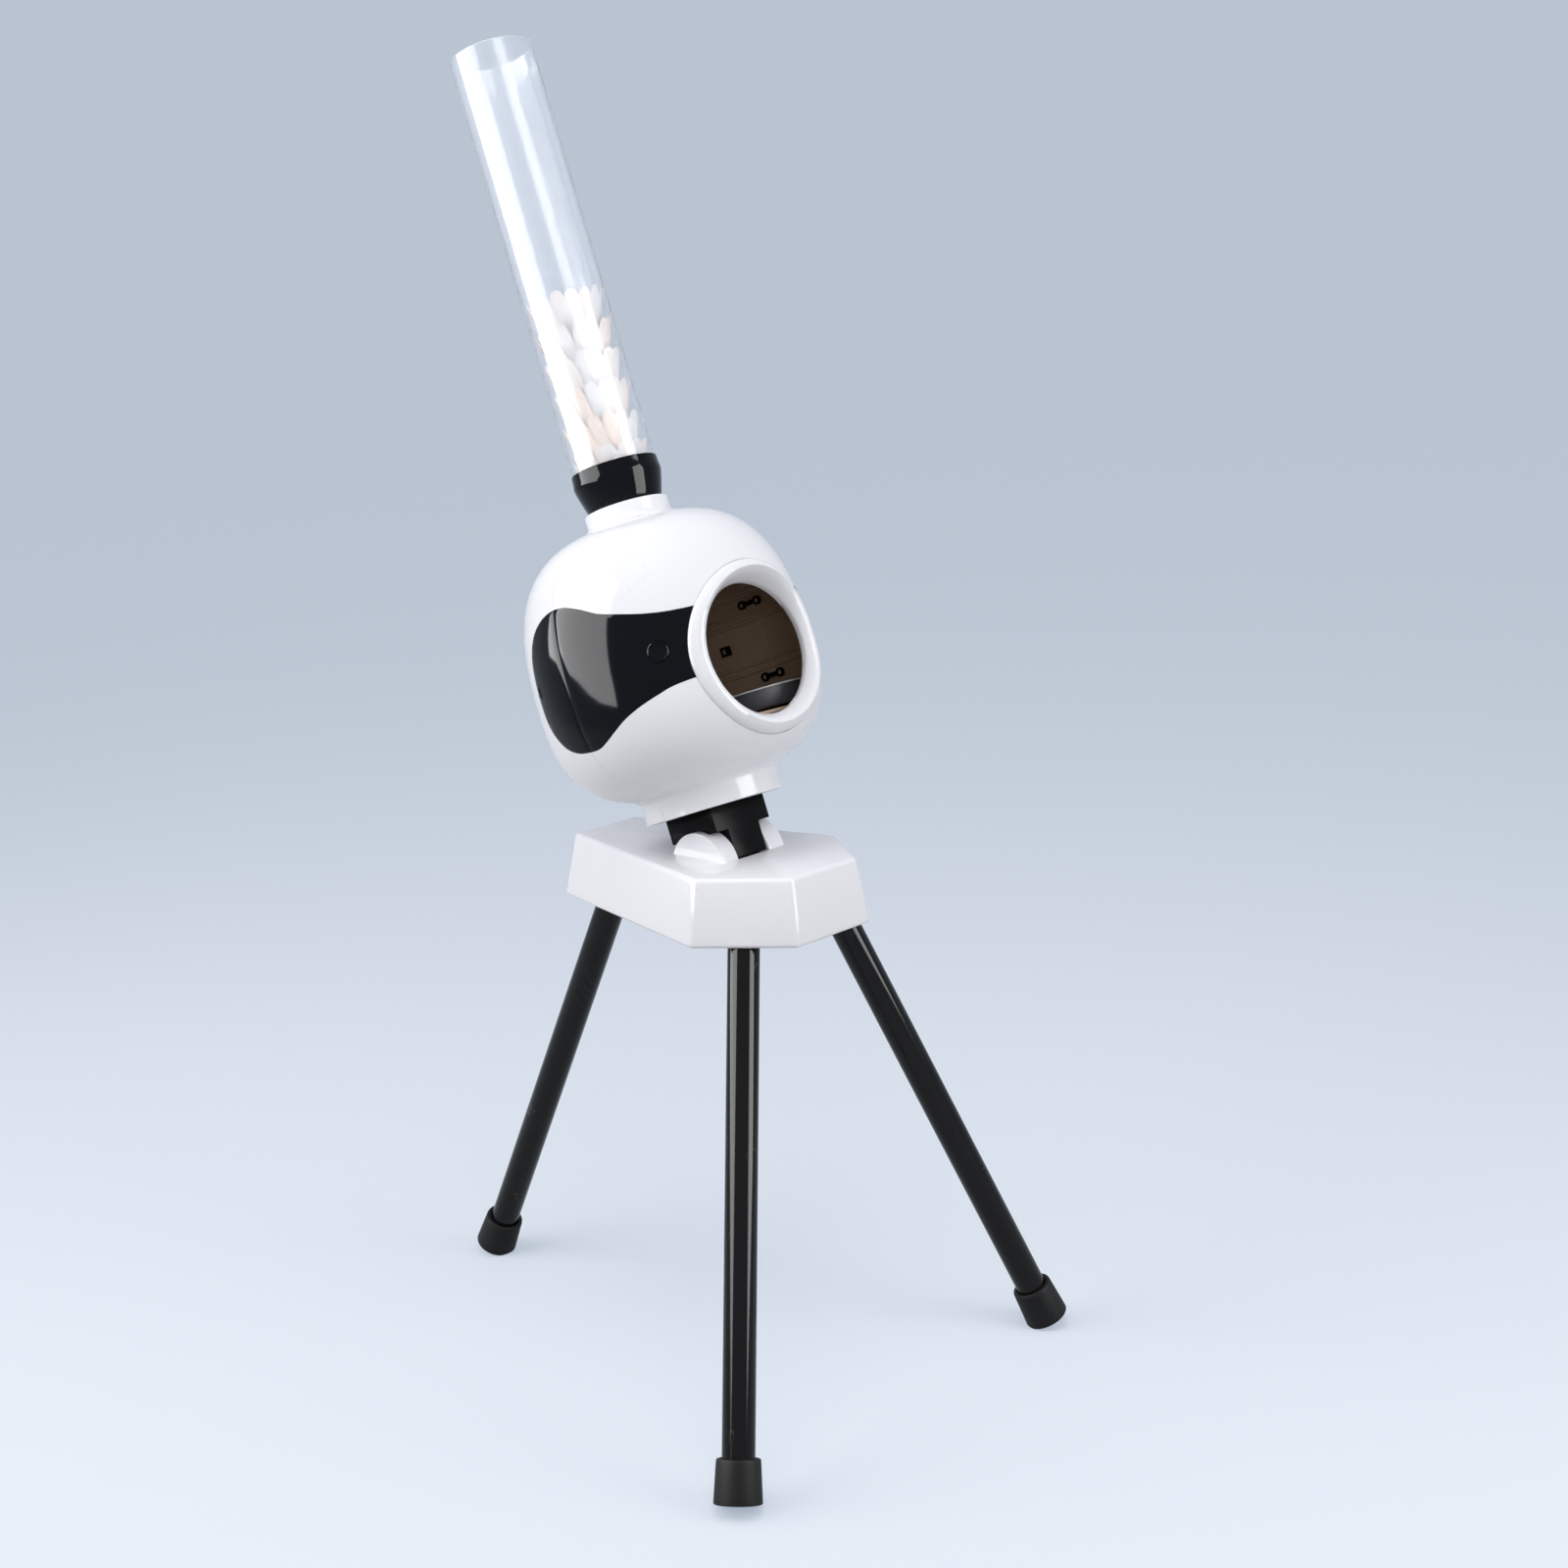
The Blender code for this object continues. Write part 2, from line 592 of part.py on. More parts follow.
def make_base_screws():
    for i, (x, y) in enumerate(SCREW_SPOTS):
        head_top = PLATE_INSET + SCREW_HEAD_HEIGHT - GAP
        head_low = head_top - SCREW_HEAD_HEIGHT + GAP
        profile = [(0, head_top + SCREW_LENGTH), (SCREW_RADIUS, head_top + SCREW_LENGTH - SCREW_RADIUS),
                   (SCREW_RADIUS, head_top), (SCREW_HEAD_RADIUS, head_top),
                   (SCREW_HEAD_RADIUS, head_low + 0.0006), (SCREW_HEAD_RADIUS - 0.001, head_low), (0, head_low)]
        screw = turned(f"base_screw_{i + 1}", profile, STEEL, stand_frame, steps=12, place=(x, y, STAND_HEIGHT))
        cross = [box(f"cross_{i}_{turn}", (-0.002, -0.0004, head_low - PAST),
                     (0.002, 0.0004, head_low + 0.0009), carrier=stand_frame, place=(x, y, STAND_HEIGHT),
                     turn=(0, 0, turn * math.pi / 2))
                 for turn in (0, 1)]
        cut(screw, *cross)


def make_battery():
    half_x, half_y = PACK_WIDTH / 2, PACK_LENGTH / 2
    bottom = STAND_HEIGHT + PLATE_INSET + 2 * DOOR_PIN_RADIUS + GAP
    pack = box("battery_pack", (-half_x, PACK_Y - half_y, bottom),
               (half_x, PACK_Y + half_y, bottom + PACK_HEIGHT), BLUE, stand_frame, helper=False)
    rounded = pack.modifiers.new("edges", "BEVEL")
    rounded.width = 0.003
    rounded.segments = 2

    pin_y = PACK_Y + half_y - DOOR_PIN_RADIUS - GAP
    low, high = PLATE_INSET, PLATE_INSET + DOOR_THICKNESS
    door = box("battery_door", (-half_x + GAP, PACK_Y - half_y + GAP - pin_y, low),
               (half_x - GAP, 0, high), SATIN_BLACK, stand_frame, helper=False,
               place=(0, pin_y, STAND_HEIGHT))
    barrel = rod("door_barrel", DOOR_PIN_RADIUS, (-half_x + GAP, 0, low + DOOR_PIN_RADIUS),
                 (half_x - GAP, 0, low + DOOR_PIN_RADIUS), carrier=stand_frame, sides=16,
                 place=(0, pin_y, STAND_HEIGHT))
    grip = box("door_grip", (-0.010, PACK_Y - half_y + 0.004 - pin_y, low - PAST),
               (0.010, PACK_Y - half_y + 0.007 - pin_y, low + 0.001), carrier=stand_frame,
               place=(0, pin_y, STAND_HEIGHT))
    stub = rod("door_stub", DOOR_STUB_RADIUS, (-half_x - DOOR_STUB, 0, low + DOOR_PIN_RADIUS),
               (half_x + DOOR_STUB, 0, low + DOOR_PIN_RADIUS), carrier=stand_frame, sides=12,
               place=(0, pin_y, STAND_HEIGHT))
    fuse(door, barrel, stub)
    cut(door, grip)

    bottom = STAND_HEIGHT + PLATE_INSET + PLATE_THICKNESS + POST_HEIGHT + GAP
    board = box("control_board", (-BOARD_WIDTH / 2, BOARD_Y - BOARD_LENGTH / 2, bottom),
                (BOARD_WIDTH / 2, BOARD_Y + BOARD_LENGTH / 2, bottom + BOARD_THICKNESS), GREEN, stand_frame,
                helper=False)
    top = bottom + BOARD_THICKNESS
    for i, (x, y, wide, deep, tall) in enumerate((
        (-0.010, -0.012, 0.014, 0.014, 0.002), (0.012, -0.014, 0.009, 0.009, 0.011),
        (0.012, 0.006, 0.010, 0.016, 0.006), (-0.011, 0.012, 0.016, 0.008, 0.007),
    )):
        part = box(f"component_{i}", (x - wide / 2, BOARD_Y + y - deep / 2, top - 0.0005),
                   (x + wide / 2, BOARD_Y + y + deep / 2, top + tall), carrier=stand_frame)
        fuse(board, part)


# Tilt bracket, in the hinge's own frame: Z along the head's axis, -Y towards the muzzle

def make_bracket():
    top = HEAD_LIFT - SKIRT_BOTTOM - GAP
    bracket = box("tilt_bracket", (-BRACKET_HALF_WIDTH, -TONGUE_FRONT, BRACKET_BOTTOM),
                  (BRACKET_HALF_WIDTH, BRACKET_REAR, top), SATIN_BLACK, tilt_axis, helper=False)
    inner = EAR_INNER_X - GAP
    for side in (-1, 1):
        arch = rod(f"arch_{side}", EAR_RADIUS + 2 * GAP, (side * inner, 0, 0),
                   (side * (BRACKET_HALF_WIDTH + PAST), 0, 0), carrier=tilt_axis, sides=48)
        cut(bracket, arch)
    tongue = box("tongue", (-inner, -TONGUE_FRONT, 0), (inner, 0, top - 0.004), carrier=tilt_axis)
    knuckle = rod("knuckle", KNUCKLE_RADIUS, (-inner, 0, 0), (inner, 0, 0), carrier=tilt_axis, sides=32)
    web = box("web", (-inner, -0.001, 0), (inner, KNUCKLE_RADIUS, top - 0.004), carrier=tilt_axis)
    bore = rod("tongue_bore", PIN_RADIUS + GAP, (-0.05, 0, 0), (0.05, 0, 0), carrier=tilt_axis)
    fuse(bracket, tongue, knuckle, web)
    cut(bracket, bore)

    rod("hinge_pin", PIN_RADIUS, (-EAR_OUTER_X + PIN_COVER + GAP, -HINGE_AHEAD, HINGE_Z),
        (EAR_OUTER_X - GAP, -HINGE_AHEAD, HINGE_Z), STEEL, stand_frame, helper=False)


# Head shells

def barrel_point(angle, inset=0.0):
    """A point (radius, height) of the barrel's side, from -90 degrees at its bottom to 90 at its top."""
    a = math.radians(angle)
    reach = (HEAD_UP if angle > 0 else HEAD_DOWN) - inset
    radius = (HEAD_RADIUS - inset) * math.cos(a) ** (2 / OUT_POWER)
    return radius, math.copysign(reach * abs(math.sin(a)) ** (2 / UP_POWER), angle)


def barrel_radius(height, inset=0.0):
    reach = (HEAD_UP if height > 0 else HEAD_DOWN) - inset
    return (HEAD_RADIUS - inset) * (1 - abs(height / reach) ** UP_POWER) ** (1 / OUT_POWER)


def angle_of(radius, inset=0.0):
    return math.degrees(math.acos((radius / (HEAD_RADIUS - inset)) ** (OUT_POWER / 2)))


def barrel_line(first_angle, last_angle, count, inset=0.0):
    return [barrel_point(first_angle + (last_angle - first_angle) * i / count, inset) for i in range(count + 1)]


def shell_profile():
    hole = NECK_BORE + SLEEVE_WALL + GAP
    turn = SKIRT_RADIUS + SKIRT_FILLET
    fillet_top = barrel_point(-angle_of(turn - 0.001))[1]
    outer = barrel_line(angle_of(hole), 0, 9) + barrel_line(0, -angle_of(turn), 8)[1:]
    outer += [(SKIRT_RADIUS + 0.0016, fillet_top - 0.0024), (SKIRT_RADIUS, fillet_top - SKIRT_FILLET),
              (SKIRT_RADIUS + SKIRT_FLARE, -SKIRT_BOTTOM)]
    skirt_inner = SKIRT_RADIUS - HEAD_WALL
    lower = angle_of(skirt_inner + 0.0035, HEAD_WALL)
    inner = [(skirt_inner, -SKIRT_BOTTOM), (skirt_inner, fillet_top - 0.002)]
    inner += barrel_line(-lower, 0, 8, HEAD_WALL) + barrel_line(0, angle_of(hole, HEAD_WALL), 9, HEAD_WALL)[1:]
    return outer + inner


def layer(name, depth, out=0.0, **placing):
    """The shell's outermost layer to a depth, as a cutter or as the stuff of a panel."""
    outer = [(radius + out, height) for radius, height in barrel_line(60, 0, 8) + barrel_line(0, -60, 8)[1:]]
    inner = [(radius - depth, height) for radius, height in barrel_line(-60, 0, 8) + barrel_line(0, 60, 8)[1:]]
    return turned(name, outer + inner, **placing)


def half_space(name, front):
    """What is cut away from the other half: all in front of the seam, or all behind it, and half its gap."""
    low, high = (-0.3, GAP / 2) if front else (-GAP / 2, 0.3)
    return box(name, (-0.3, low, -0.3), (0.3, high, 0.4), carrier=head_middle)


def visor_prism(name, side, grow):
    edge = [(-ahead, height) for ahead, height in along_curve(VISOR_OUTLINE, 2)]
    outline = grown(edge, grow) if grow else edge
    low, high = sorted((side * 0.02, side * (HEAD_RADIUS + PAST)))
    return prism(name, outline, low, high, (1, 2), carrier=head_middle)


def radial(angle, distance, height=0.0):
    """A point at a distance from the head's axis, the angle measured from the muzzle towards -X."""
    a = math.radians(angle)
    return Vector((-math.sin(a) * distance, -math.cos(a) * distance, height))


def button_angle():
    across = math.sqrt(RING_RADIUS**2 - BUTTON_HEIGHT**2) + BUTTON_BESIDE
    return math.degrees(math.asin(across / barrel_radius(BUTTON_HEIGHT)))


def make_head():
    front_half = half_space("front_half", True)
    rear_half = half_space("rear_half", False)
    outside = HEAD_RADIUS + PAST
    port = rod("port_room", RING_RADIUS + GAP, (0, -outside, 0), (0, -HEAD_RADIUS / 2, 0), carrier=head_middle,
               sides=RING_STEPS)
    inside = HEAD_RADIUS - BUTTON_ROOM_DEPTH
    button_room = rod("button_room", BUTTON_RADIUS + GAP, radial(button_angle(), inside, BUTTON_HEIGHT),
                      radial(button_angle(), outside, BUTTON_HEIGHT), carrier=head_middle, sides=32)
    shells = {}
    for name, off, material in (("front", rear_half, WHITE), ("rear", front_half, WHITE)):
        shell = turned(f"head_{name}_shell", shell_profile(), material, head_middle)
        cut(shell, off)
        shells[name] = shell
    cut(shells["front"], port)

    for side, word in ((-1, "left"), (1, "right")):
        recess = layer(f"recess_{word}", VISOR_THICKNESS + GAP, out=0.003, carrier=head_middle, helper=True)
        common(recess, visor_prism(f"recess_outline_{word}", side, GAP))
        lug_x = math.sqrt(barrel_radius(LUG_HEIGHT) ** 2 - LUG_AHEAD**2)
        lug_low = Vector((lug_x - LUG_REACH, -LUG_AHEAD - LUG_SIZE / 2, LUG_HEIGHT - LUG_SIZE / 2))
        lug_high = Vector((lug_x - 0.0012, -LUG_AHEAD + LUG_SIZE / 2, LUG_HEIGHT + LUG_SIZE / 2))
        room = Vector((GAP, GAP, GAP))
        corners = [lug_low, lug_high, lug_low - room, lug_high + room]
        if side < 0:
            corners = [Vector((-high.x, low.y, low.z)) if i % 2 == 0 else Vector((-low.x, high.y, high.z))
                       for i, (low, high) in enumerate(
                           ((lug_low, lug_high), (lug_low, lug_high),
                            (lug_low - room, lug_high + room), (lug_low - room, lug_high + room)))]
        lug = box(f"lug_{word}", corners[0], corners[1], carrier=head_middle)
        lug_room = box(f"lug_room_{word}", corners[2], corners[3], carrier=head_middle)
        cut(shells["front"], recess)
        cut(shells["rear"], recess, lug_room)
        for name, off in (("front", rear_half), ("rear", front_half)):
            panel = layer(f"visor_{word}_{name}", VISOR_THICKNESS, material=BLACK, carrier=head_middle)
            common(panel, visor_prism(f"visor_outline_{word}_{name}", side, 0))
            cut(panel, off)
            if name == "rear":
                fuse(panel, lug)
            else:
                cut(panel, port)
            if (word, name) == ("left", "front"):
                cut(panel, button_room)
    cut(shells["front"], button_room)

    pad_low = STACK_BOTTOM + SERVO_LIFT + SERVO_HEIGHT + GAP
    pad_front = GATE_BACK - PAD_AHEAD
    pad = box("servo_pad", (-PAD_WIDTH / 2, pad_front, pad_low),
              (PAD_WIDTH / 2, pad_front + PAD_LENGTH, HEAD_UP - PAD_SINK), carrier=head_middle)
    fuse(shells["rear"], pad)

    floor_radius = SKIRT_RADIUS - HEAD_WALL - GAP
    turned("head_floor", [(0, -SKIRT_BOTTOM + FLOOR_THICKNESS), (floor_radius, -SKIRT_BOTTOM + FLOOR_THICKNESS),
                          (floor_radius, -SKIRT_BOTTOM), (0, -SKIRT_BOTTOM)], SATIN_BLACK, head_middle)


def make_port_ring():
    """The launch port's rolled ring: its outer edge follows the barrel, its inner edge is a flat circle."""
    sections = []
    for step in range(RING_STEPS):
        turn = 2 * math.pi * step / RING_STEPS
        across, up = math.cos(turn), math.sin(turn)

        def ahead(radius):
            return math.sqrt(barrel_radius(radius * up) ** 2 - (radius * across) ** 2)

        edge, crest = ahead(RING_RADIUS), ahead(RING_CREST_RADIUS) + RING_CREST
        inner_mid = (PORT_RADIUS + RING_CREST_RADIUS) / 2
        section = [
            (RING_RADIUS, RING_BACK_Y - 0.006), (RING_RADIUS, edge + 0.0004),
            (RING_RADIUS - 0.0012, edge + 0.0026), (RING_CREST_RADIUS + 0.0030, crest - 0.0006),
            (RING_CREST_RADIUS, crest),
            (RING_CREST_RADIUS - 0.0030, crest - 0.0010), (inner_mid, (crest + PORT_EDGE_Y) / 2 + 0.0012),
            (PORT_RADIUS, PORT_EDGE_Y), (PORT_RADIUS + 0.0006, PORT_EDGE_Y - RING_LIP),
            (RING_RADIUS - 0.004, RING_BACK_Y), (RING_RADIUS - 0.004, RING_BACK_Y - 0.006),
        ]
        sections.append([(radius * across, -forward, radius * up) for radius, forward in section])

    def build(shape):
        rings = [[shape.verts.new(point) for point in section] for section in sections]
        count = len(rings[0])
        for ring, after in zip(rings, rings[1:] + rings[:1]):
            for i in range(count):
                shape.faces.new((ring[i - 1], ring[i], after[i], after[i - 1]))

    keep(mesh_object("port_ring", build), WHITE, head_middle)


def make_button():
    surface = barrel_radius(BUTTON_HEIGHT)
    wall = barrel_radius(BUTTON_HEIGHT + SWITCH_RADIUS) - HEAD_WALL
    inner_wall = math.sqrt(wall**2 - SWITCH_RADIUS**2) - GAP
    place = radial(button_angle(), surface, BUTTON_HEIGHT)
    turn = (math.radians(90), 0, math.radians(-button_angle()))
    face_drop = surface - math.sqrt(surface**2 - BUTTON_RADIUS**2)
    flange_top = inner_wall - surface - 2 * GAP
    flange_radius = SWITCH_RADIUS - 0.0022
    cap = [(0, 0), (BUTTON_RADIUS * 0.6, -face_drop * 0.4), (BUTTON_RADIUS - 0.0008, -face_drop),
           (BUTTON_RADIUS, -face_drop - 0.0006), (BUTTON_RADIUS, flange_top), (flange_radius, flange_top),
           (flange_radius, flange_top - BUTTON_FLANGE), (0, flange_top - BUTTON_FLANGE)]
    turned("power_button", cap, BLACK, head_middle, steps=32, place=place, turn=turn)
    top = inner_wall - surface
    cup = [(SWITCH_RADIUS, top), (SWITCH_RADIUS, top - SWITCH_DEPTH), (0, top - SWITCH_DEPTH)]
    floor = top - SWITCH_DEPTH + SWITCH_FLOOR
    stem_top = flange_top - BUTTON_FLANGE - BUTTON_TRAVEL - GAP
    inner = [(0, stem_top), (0.004, stem_top), (0.004, floor), (flange_radius + GAP, floor),
             (flange_radius + GAP, top)]
    turned("button_switch", inner + cup, SATIN_BLACK, head_middle, steps=24, place=place, turn=turn)


# Neck, collar, tube and shuttlecocks

def make_feed_column():
    dome = barrel_point(angle_of(NECK_FOOT_RADIUS))[1]
    dome_in = barrel_point(angle_of(NECK_RADIUS))[1] + GAP
    sleeve = NECK_BORE + SLEEVE_WALL
    dome_hole = barrel_point(angle_of(sleeve + GAP))[1] + GAP
    neck = [
        (NECK_BORE, NECK_TOP), (NECK_RADIUS - 0.0016, NECK_TOP), (NECK_RADIUS - 0.0004, NECK_TOP - 0.0006),
        (NECK_RADIUS, NECK_TOP - 0.0018), (NECK_RADIUS, dome_in + NECK_FOOT + 0.0030),
        (NECK_RADIUS + 0.0010, dome_in + NECK_FOOT + 0.0010), (NECK_FOOT_RADIUS - 0.0010, dome + NECK_FOOT),
        (NECK_FOOT_RADIUS, dome + NECK_FOOT * 0.6), (NECK_FOOT_RADIUS, dome + GAP), (NECK_RADIUS, dome_in),
        (sleeve, dome_hole), (sleeve, SLEEVE_BOTTOM), (NECK_BORE, SLEEVE_BOTTOM),
    ]
    turned("neck_ring", neck, WHITE, head_middle, steps=40)

    spigot = NECK_BORE - GAP
    top = NECK_TOP + COLLAR_HEIGHT
    collar = [
        (TUBE_RADIUS + GAP, top), (COLLAR_TOP_RADIUS - 0.0004, top), (COLLAR_TOP_RADIUS, top - 0.0006),
        (COLLAR_WIDE_RADIUS, top - COLLAR_WIDE_DROP + 0.001),
        (COLLAR_WIDE_RADIUS, top - COLLAR_WIDE_DROP - 0.001),
        (spigot + 0.0006, NECK_TOP + 0.0012), (spigot, NECK_TOP + 0.0004), (spigot, NECK_TOP - COLLAR_SPIGOT),
        (COLLAR_BORE, NECK_TOP - COLLAR_SPIGOT), (COLLAR_BORE, top - TUBE_SEAT),
        (TUBE_RADIUS + GAP, top - TUBE_SEAT),
    ]
    turned("tube_collar", collar, BLACK, head_middle, steps=40)

    foot = top - TUBE_SEAT + GAP
    tube = [(TUBE_RADIUS, foot + TUBE_LENGTH), (TUBE_RADIUS, foot), (TUBE_RADIUS - TUBE_WALL, foot),
            (TUBE_RADIUS - TUBE_WALL, foot + TUBE_LENGTH)]
    turned("magazine_tube", tube, CLEAR, head_middle, steps=40)

    dome_cork = [(CORK_RADIUS * math.cos(math.radians(a)), CORK_RADIUS * (1 - math.sin(math.radians(a))))
                 for a in (0, 30, 60)]
    root = SHUTTLE_PITCH - GAP
    for i in range(SHUTTLE_COUNT):
        # The lowest one's feathers are squeezed by the collar's narrower bore
        tip = min(SKIRT_TIP_RADIUS, COLLAR_BORE - COLLAR_PLAY) if i == 0 else SKIRT_TIP_RADIUS
        cockle = [
            (0, root), (SKIRT_ROOT_RADIUS - 2 * FEATHER_THICKNESS, root),
            (tip - FEATHER_THICKNESS, SHUTTLE_HEIGHT),
            (tip, SHUTTLE_HEIGHT), (SKIRT_ROOT_RADIUS, CORK_HEIGHT), (CORK_RADIUS, CORK_HEIGHT - 0.0006),
            *dome_cork, (0, 0),
        ]
        turned(f"shuttlecock_{i + 1}", cockle, FEATHER, head_middle, steps=16,
               place=(0, 0, STACK_BOTTOM + i * SHUTTLE_PITCH))


def make_feed_gate():
    top = STACK_BOTTOM - GAP
    low = top - GATE_THICKNESS
    place = (0, GATE_BACK, 0)
    hub_top = STACK_BOTTOM + 0.007
    gate = box("feed_gate", (-GATE_WIDTH / 2, -GATE_REACH, low), (GATE_WIDTH / 2, 0, top), SATIN_BLACK,
               head_middle, helper=False, place=place)
    tip = gate.modifiers.new("corners", "BEVEL")
    tip.width = 0.004
    tip.segments = 3
    tip.affect = "EDGES"
    tip.limit_method = "WEIGHT"
    weights = gate.data.attributes.new("bevel_weight_edge", "FLOAT", "EDGE")
    for edge in gate.data.edges:
        a, b = (gate.data.vertices[i].co for i in edge.vertices)
        weights.data[edge.index].value = float(abs(a.z - b.z) > GATE_THICKNESS / 2 and a.y < -GATE_REACH / 2)
    hub = rod("gate_hub", GATE_HUB_RADIUS, (0, 0, low), (0, 0, hub_top), carrier=head_middle, place=place)
    bore = rod("gate_bore", SERVO_SHAFT_RADIUS + GAP, (0, 0, low + 0.002), (0, 0, hub_top + PAST),
               carrier=head_middle, place=place, sides=16)
    fuse(gate, hub)
    cut(gate, bore)

    bottom = STACK_BOTTOM + SERVO_LIFT
    half = SERVO_WIDTH / 2
    servo = box("feed_servo", (-half, -half, bottom), (half, SERVO_LENGTH - half, bottom + SERVO_HEIGHT),
                SATIN_BLACK, head_middle, helper=False, place=place)
    shaft = rod("servo_shaft", SERVO_SHAFT_RADIUS, (0, 0, low + 0.002 + GAP), (0, 0, bottom + 0.002),
                carrier=head_middle, place=place, sides=16)
    ears = box("servo_ears", (-half, -half, bottom + SERVO_HEIGHT - 0.008),
               (half, SERVO_LENGTH - half + 0.0045, bottom + SERVO_HEIGHT - 0.0055), carrier=head_middle,
               place=place)
    fuse(servo, shaft, ears)


# Launch deck with its flywheels, motors and pusher

def make_deck():
    bottom = DECK_TOP - DECK_THICKNESS
    edge = barrel_radius(bottom, HEAD_WALL) * math.cos(math.pi / SHELL_STEPS) - GAP
    disc = [(0, DECK_TOP), (edge, DECK_TOP), (edge, bottom), (0, bottom)]
    deck = turned("launch_deck", disc, BROWN, head_middle)
    front = box("deck_front", (-0.2, -0.2, bottom - PAST), (0.2, -DECK_FRONT, DECK_TOP + PAST),
                carrier=head_middle)
    cut(deck, front)
    for side in (-1, 1):
        hole = rod(f"shaft_hole_{side}", MOTOR_BOSS_RADIUS + GAP, (side * WHEEL_X, -WHEEL_AHEAD, bottom - PAST),
                   (side * WHEEL_X, -WHEEL_AHEAD, DECK_TOP + PAST), carrier=head_middle)
        cut(deck, hole)
        x = side * (CORK_RADIUS + 0.001)
        guide = box(f"guide_{side}", (min(x, x + side * GUIDE_THICKNESS), -0.004, DECK_TOP - 0.001),
                    (max(x, x + side * GUIDE_THICKNESS), GUIDE_LENGTH - 0.004, DECK_TOP + GUIDE_HEIGHT),
                    carrier=head_middle)
        fuse(deck, guide)


def make_flywheels():
    low = WHEEL_TOP - WHEEL_THICKNESS
    for side, word in ((-1, "left"), (1, "right")):
        place = (side * WHEEL_X, -WHEEL_AHEAD, 0)
        crown = WHEEL_RADIUS - TYRE_CROWN
        tyre = [(HUB_RADIUS + GAP, WHEEL_TOP), (crown - 0.001, WHEEL_TOP), (crown, WHEEL_TOP - 0.001),
                (WHEEL_RADIUS, WHEEL_TOP - WHEEL_THICKNESS / 2), (crown, low + 0.001), (crown - 0.001, low),
                (HUB_RADIUS + GAP, low)]
        turned(f"flywheel_tyre_{word}", tyre, GREY, head_middle, steps=32, place=place)
        dish = 0.004
        hub = [(HUB_BORE, WHEEL_TOP - dish), (0.006, WHEEL_TOP - dish), (0.007, WHEEL_TOP - 2 * dish),
               (HUB_RADIUS - 0.004, WHEEL_TOP - 2 * dish), (HUB_RADIUS - 0.003, WHEEL_TOP),
               (HUB_RADIUS, WHEEL_TOP), (HUB_RADIUS, low), (HUB_BORE, low)]
        turned(f"flywheel_hub_{word}", hub, BLACK, head_middle, steps=32, place=place)

        seat = DECK_TOP - DECK_THICKNESS - GAP
        end = seat - MOTOR_LENGTH
        tip = WHEEL_TOP - dish
        motor = [(0, tip), (MOTOR_SHAFT_RADIUS, tip), (MOTOR_SHAFT_RADIUS, DECK_TOP + GAP),
                 (MOTOR_BOSS_RADIUS, DECK_TOP + GAP), (MOTOR_BOSS_RADIUS, seat), (MOTOR_RADIUS - 0.001, seat),
                 (MOTOR_RADIUS, seat - 0.001), (MOTOR_RADIUS, end + 0.001), (MOTOR_RADIUS - 0.001, end),
                 (0, end)]
        turned(f"motor_{word}", motor, STEEL, head_middle, steps=24, place=place)


def make_pusher():
    level = DECK_TOP + PUSHER_RISE
    pad_front = CORK_RADIUS + GAP
    pad = rod("pusher", PUSHER_PAD_RADIUS, (0, pad_front, level), (0, pad_front + PUSHER_PAD, level),
              SATIN_BLACK, head_middle, helper=False, sides=24)
    stem_end = SOLENOID_FRONT + SOLENOID_LENGTH - 0.004
    stem = rod("pusher_stem", PUSHER_RADIUS, (0, pad_front + 0.001, level), (0, stem_end, level),
               carrier=head_middle, sides=16)
    fuse(pad, stem)
    half = SOLENOID_WIDTH / 2
    coil = box("pusher_solenoid", (-half, SOLENOID_FRONT, DECK_TOP + GAP),
               (half, SOLENOID_FRONT + SOLENOID_LENGTH, level + half), STEEL, head_middle, helper=False)
    bore = rod("solenoid_bore", PUSHER_RADIUS + GAP, (0, SOLENOID_FRONT - PAST, level),
               (0, stem_end + GAP, level), carrier=head_middle, sides=16)
    edges = coil.modifiers.new("edges", "BEVEL")
    edges.width = 0.0015
    edges.segments = 2
    cut(coil, bore)


def make_clips():
    for side, word in ((-1, "left"), (1, "right")):
        for height, level in zip(CLIP_HEIGHTS, ("upper", "lower")):
            edges = (height - CLIP_END_RADIUS, height + CLIP_END_RADIUS)
            wall = min(barrel_radius(edge, HEAD_WALL) for edge in edges)
            reach = CLIP_LENGTH / 2 + CLIP_END_RADIUS
            back = math.sqrt((wall * math.cos(math.pi / SHELL_STEPS)) ** 2 - reach**2) - GAP
            low, high = sorted((side * back, side * (back - CLIP_THICKNESS)))
            clip = box(f"shell_clip_{word}_{level}",
                       (low + CLIP_STEP, -CLIP_LENGTH / 2, height - CLIP_BAR_WIDTH / 2),
                       (high - CLIP_STEP, CLIP_LENGTH / 2, height + CLIP_BAR_WIDTH / 2), SATIN_BLACK,
                       head_middle, helper=False)
            for end in (-1, 1):
                knob = rod(f"knob_{word}_{level}_{end}", CLIP_END_RADIUS, (low, end * CLIP_LENGTH / 2, height),
                           (high, end * CLIP_LENGTH / 2, height), carrier=head_middle, sides=20)
                fuse(clip, knob)


stand_frame.location = (0, -(foot_reach(1) + foot_reach(0)) / 2, 0)
tilt_axis.location = (0, -HINGE_AHEAD, HINGE_Z)
tilt_axis.rotation_euler = (-math.radians(TILT_BACK), 0, 0)
head_middle.location = (0, -HEAD_AHEAD, HEAD_LIFT)

rooms = [make_leg(name, side) for name, side in (("left", -1), ("right", 1), ("rear", 0))]
make_housing(rooms)
make_plate(rooms)
make_base_screws()
make_battery()
make_bracket()
make_head()
make_port_ring()
make_button()
make_feed_column()
make_feed_gate()
make_deck()
make_flywheels()
make_pusher()
make_clips()
bpy.context.view_layer.update()
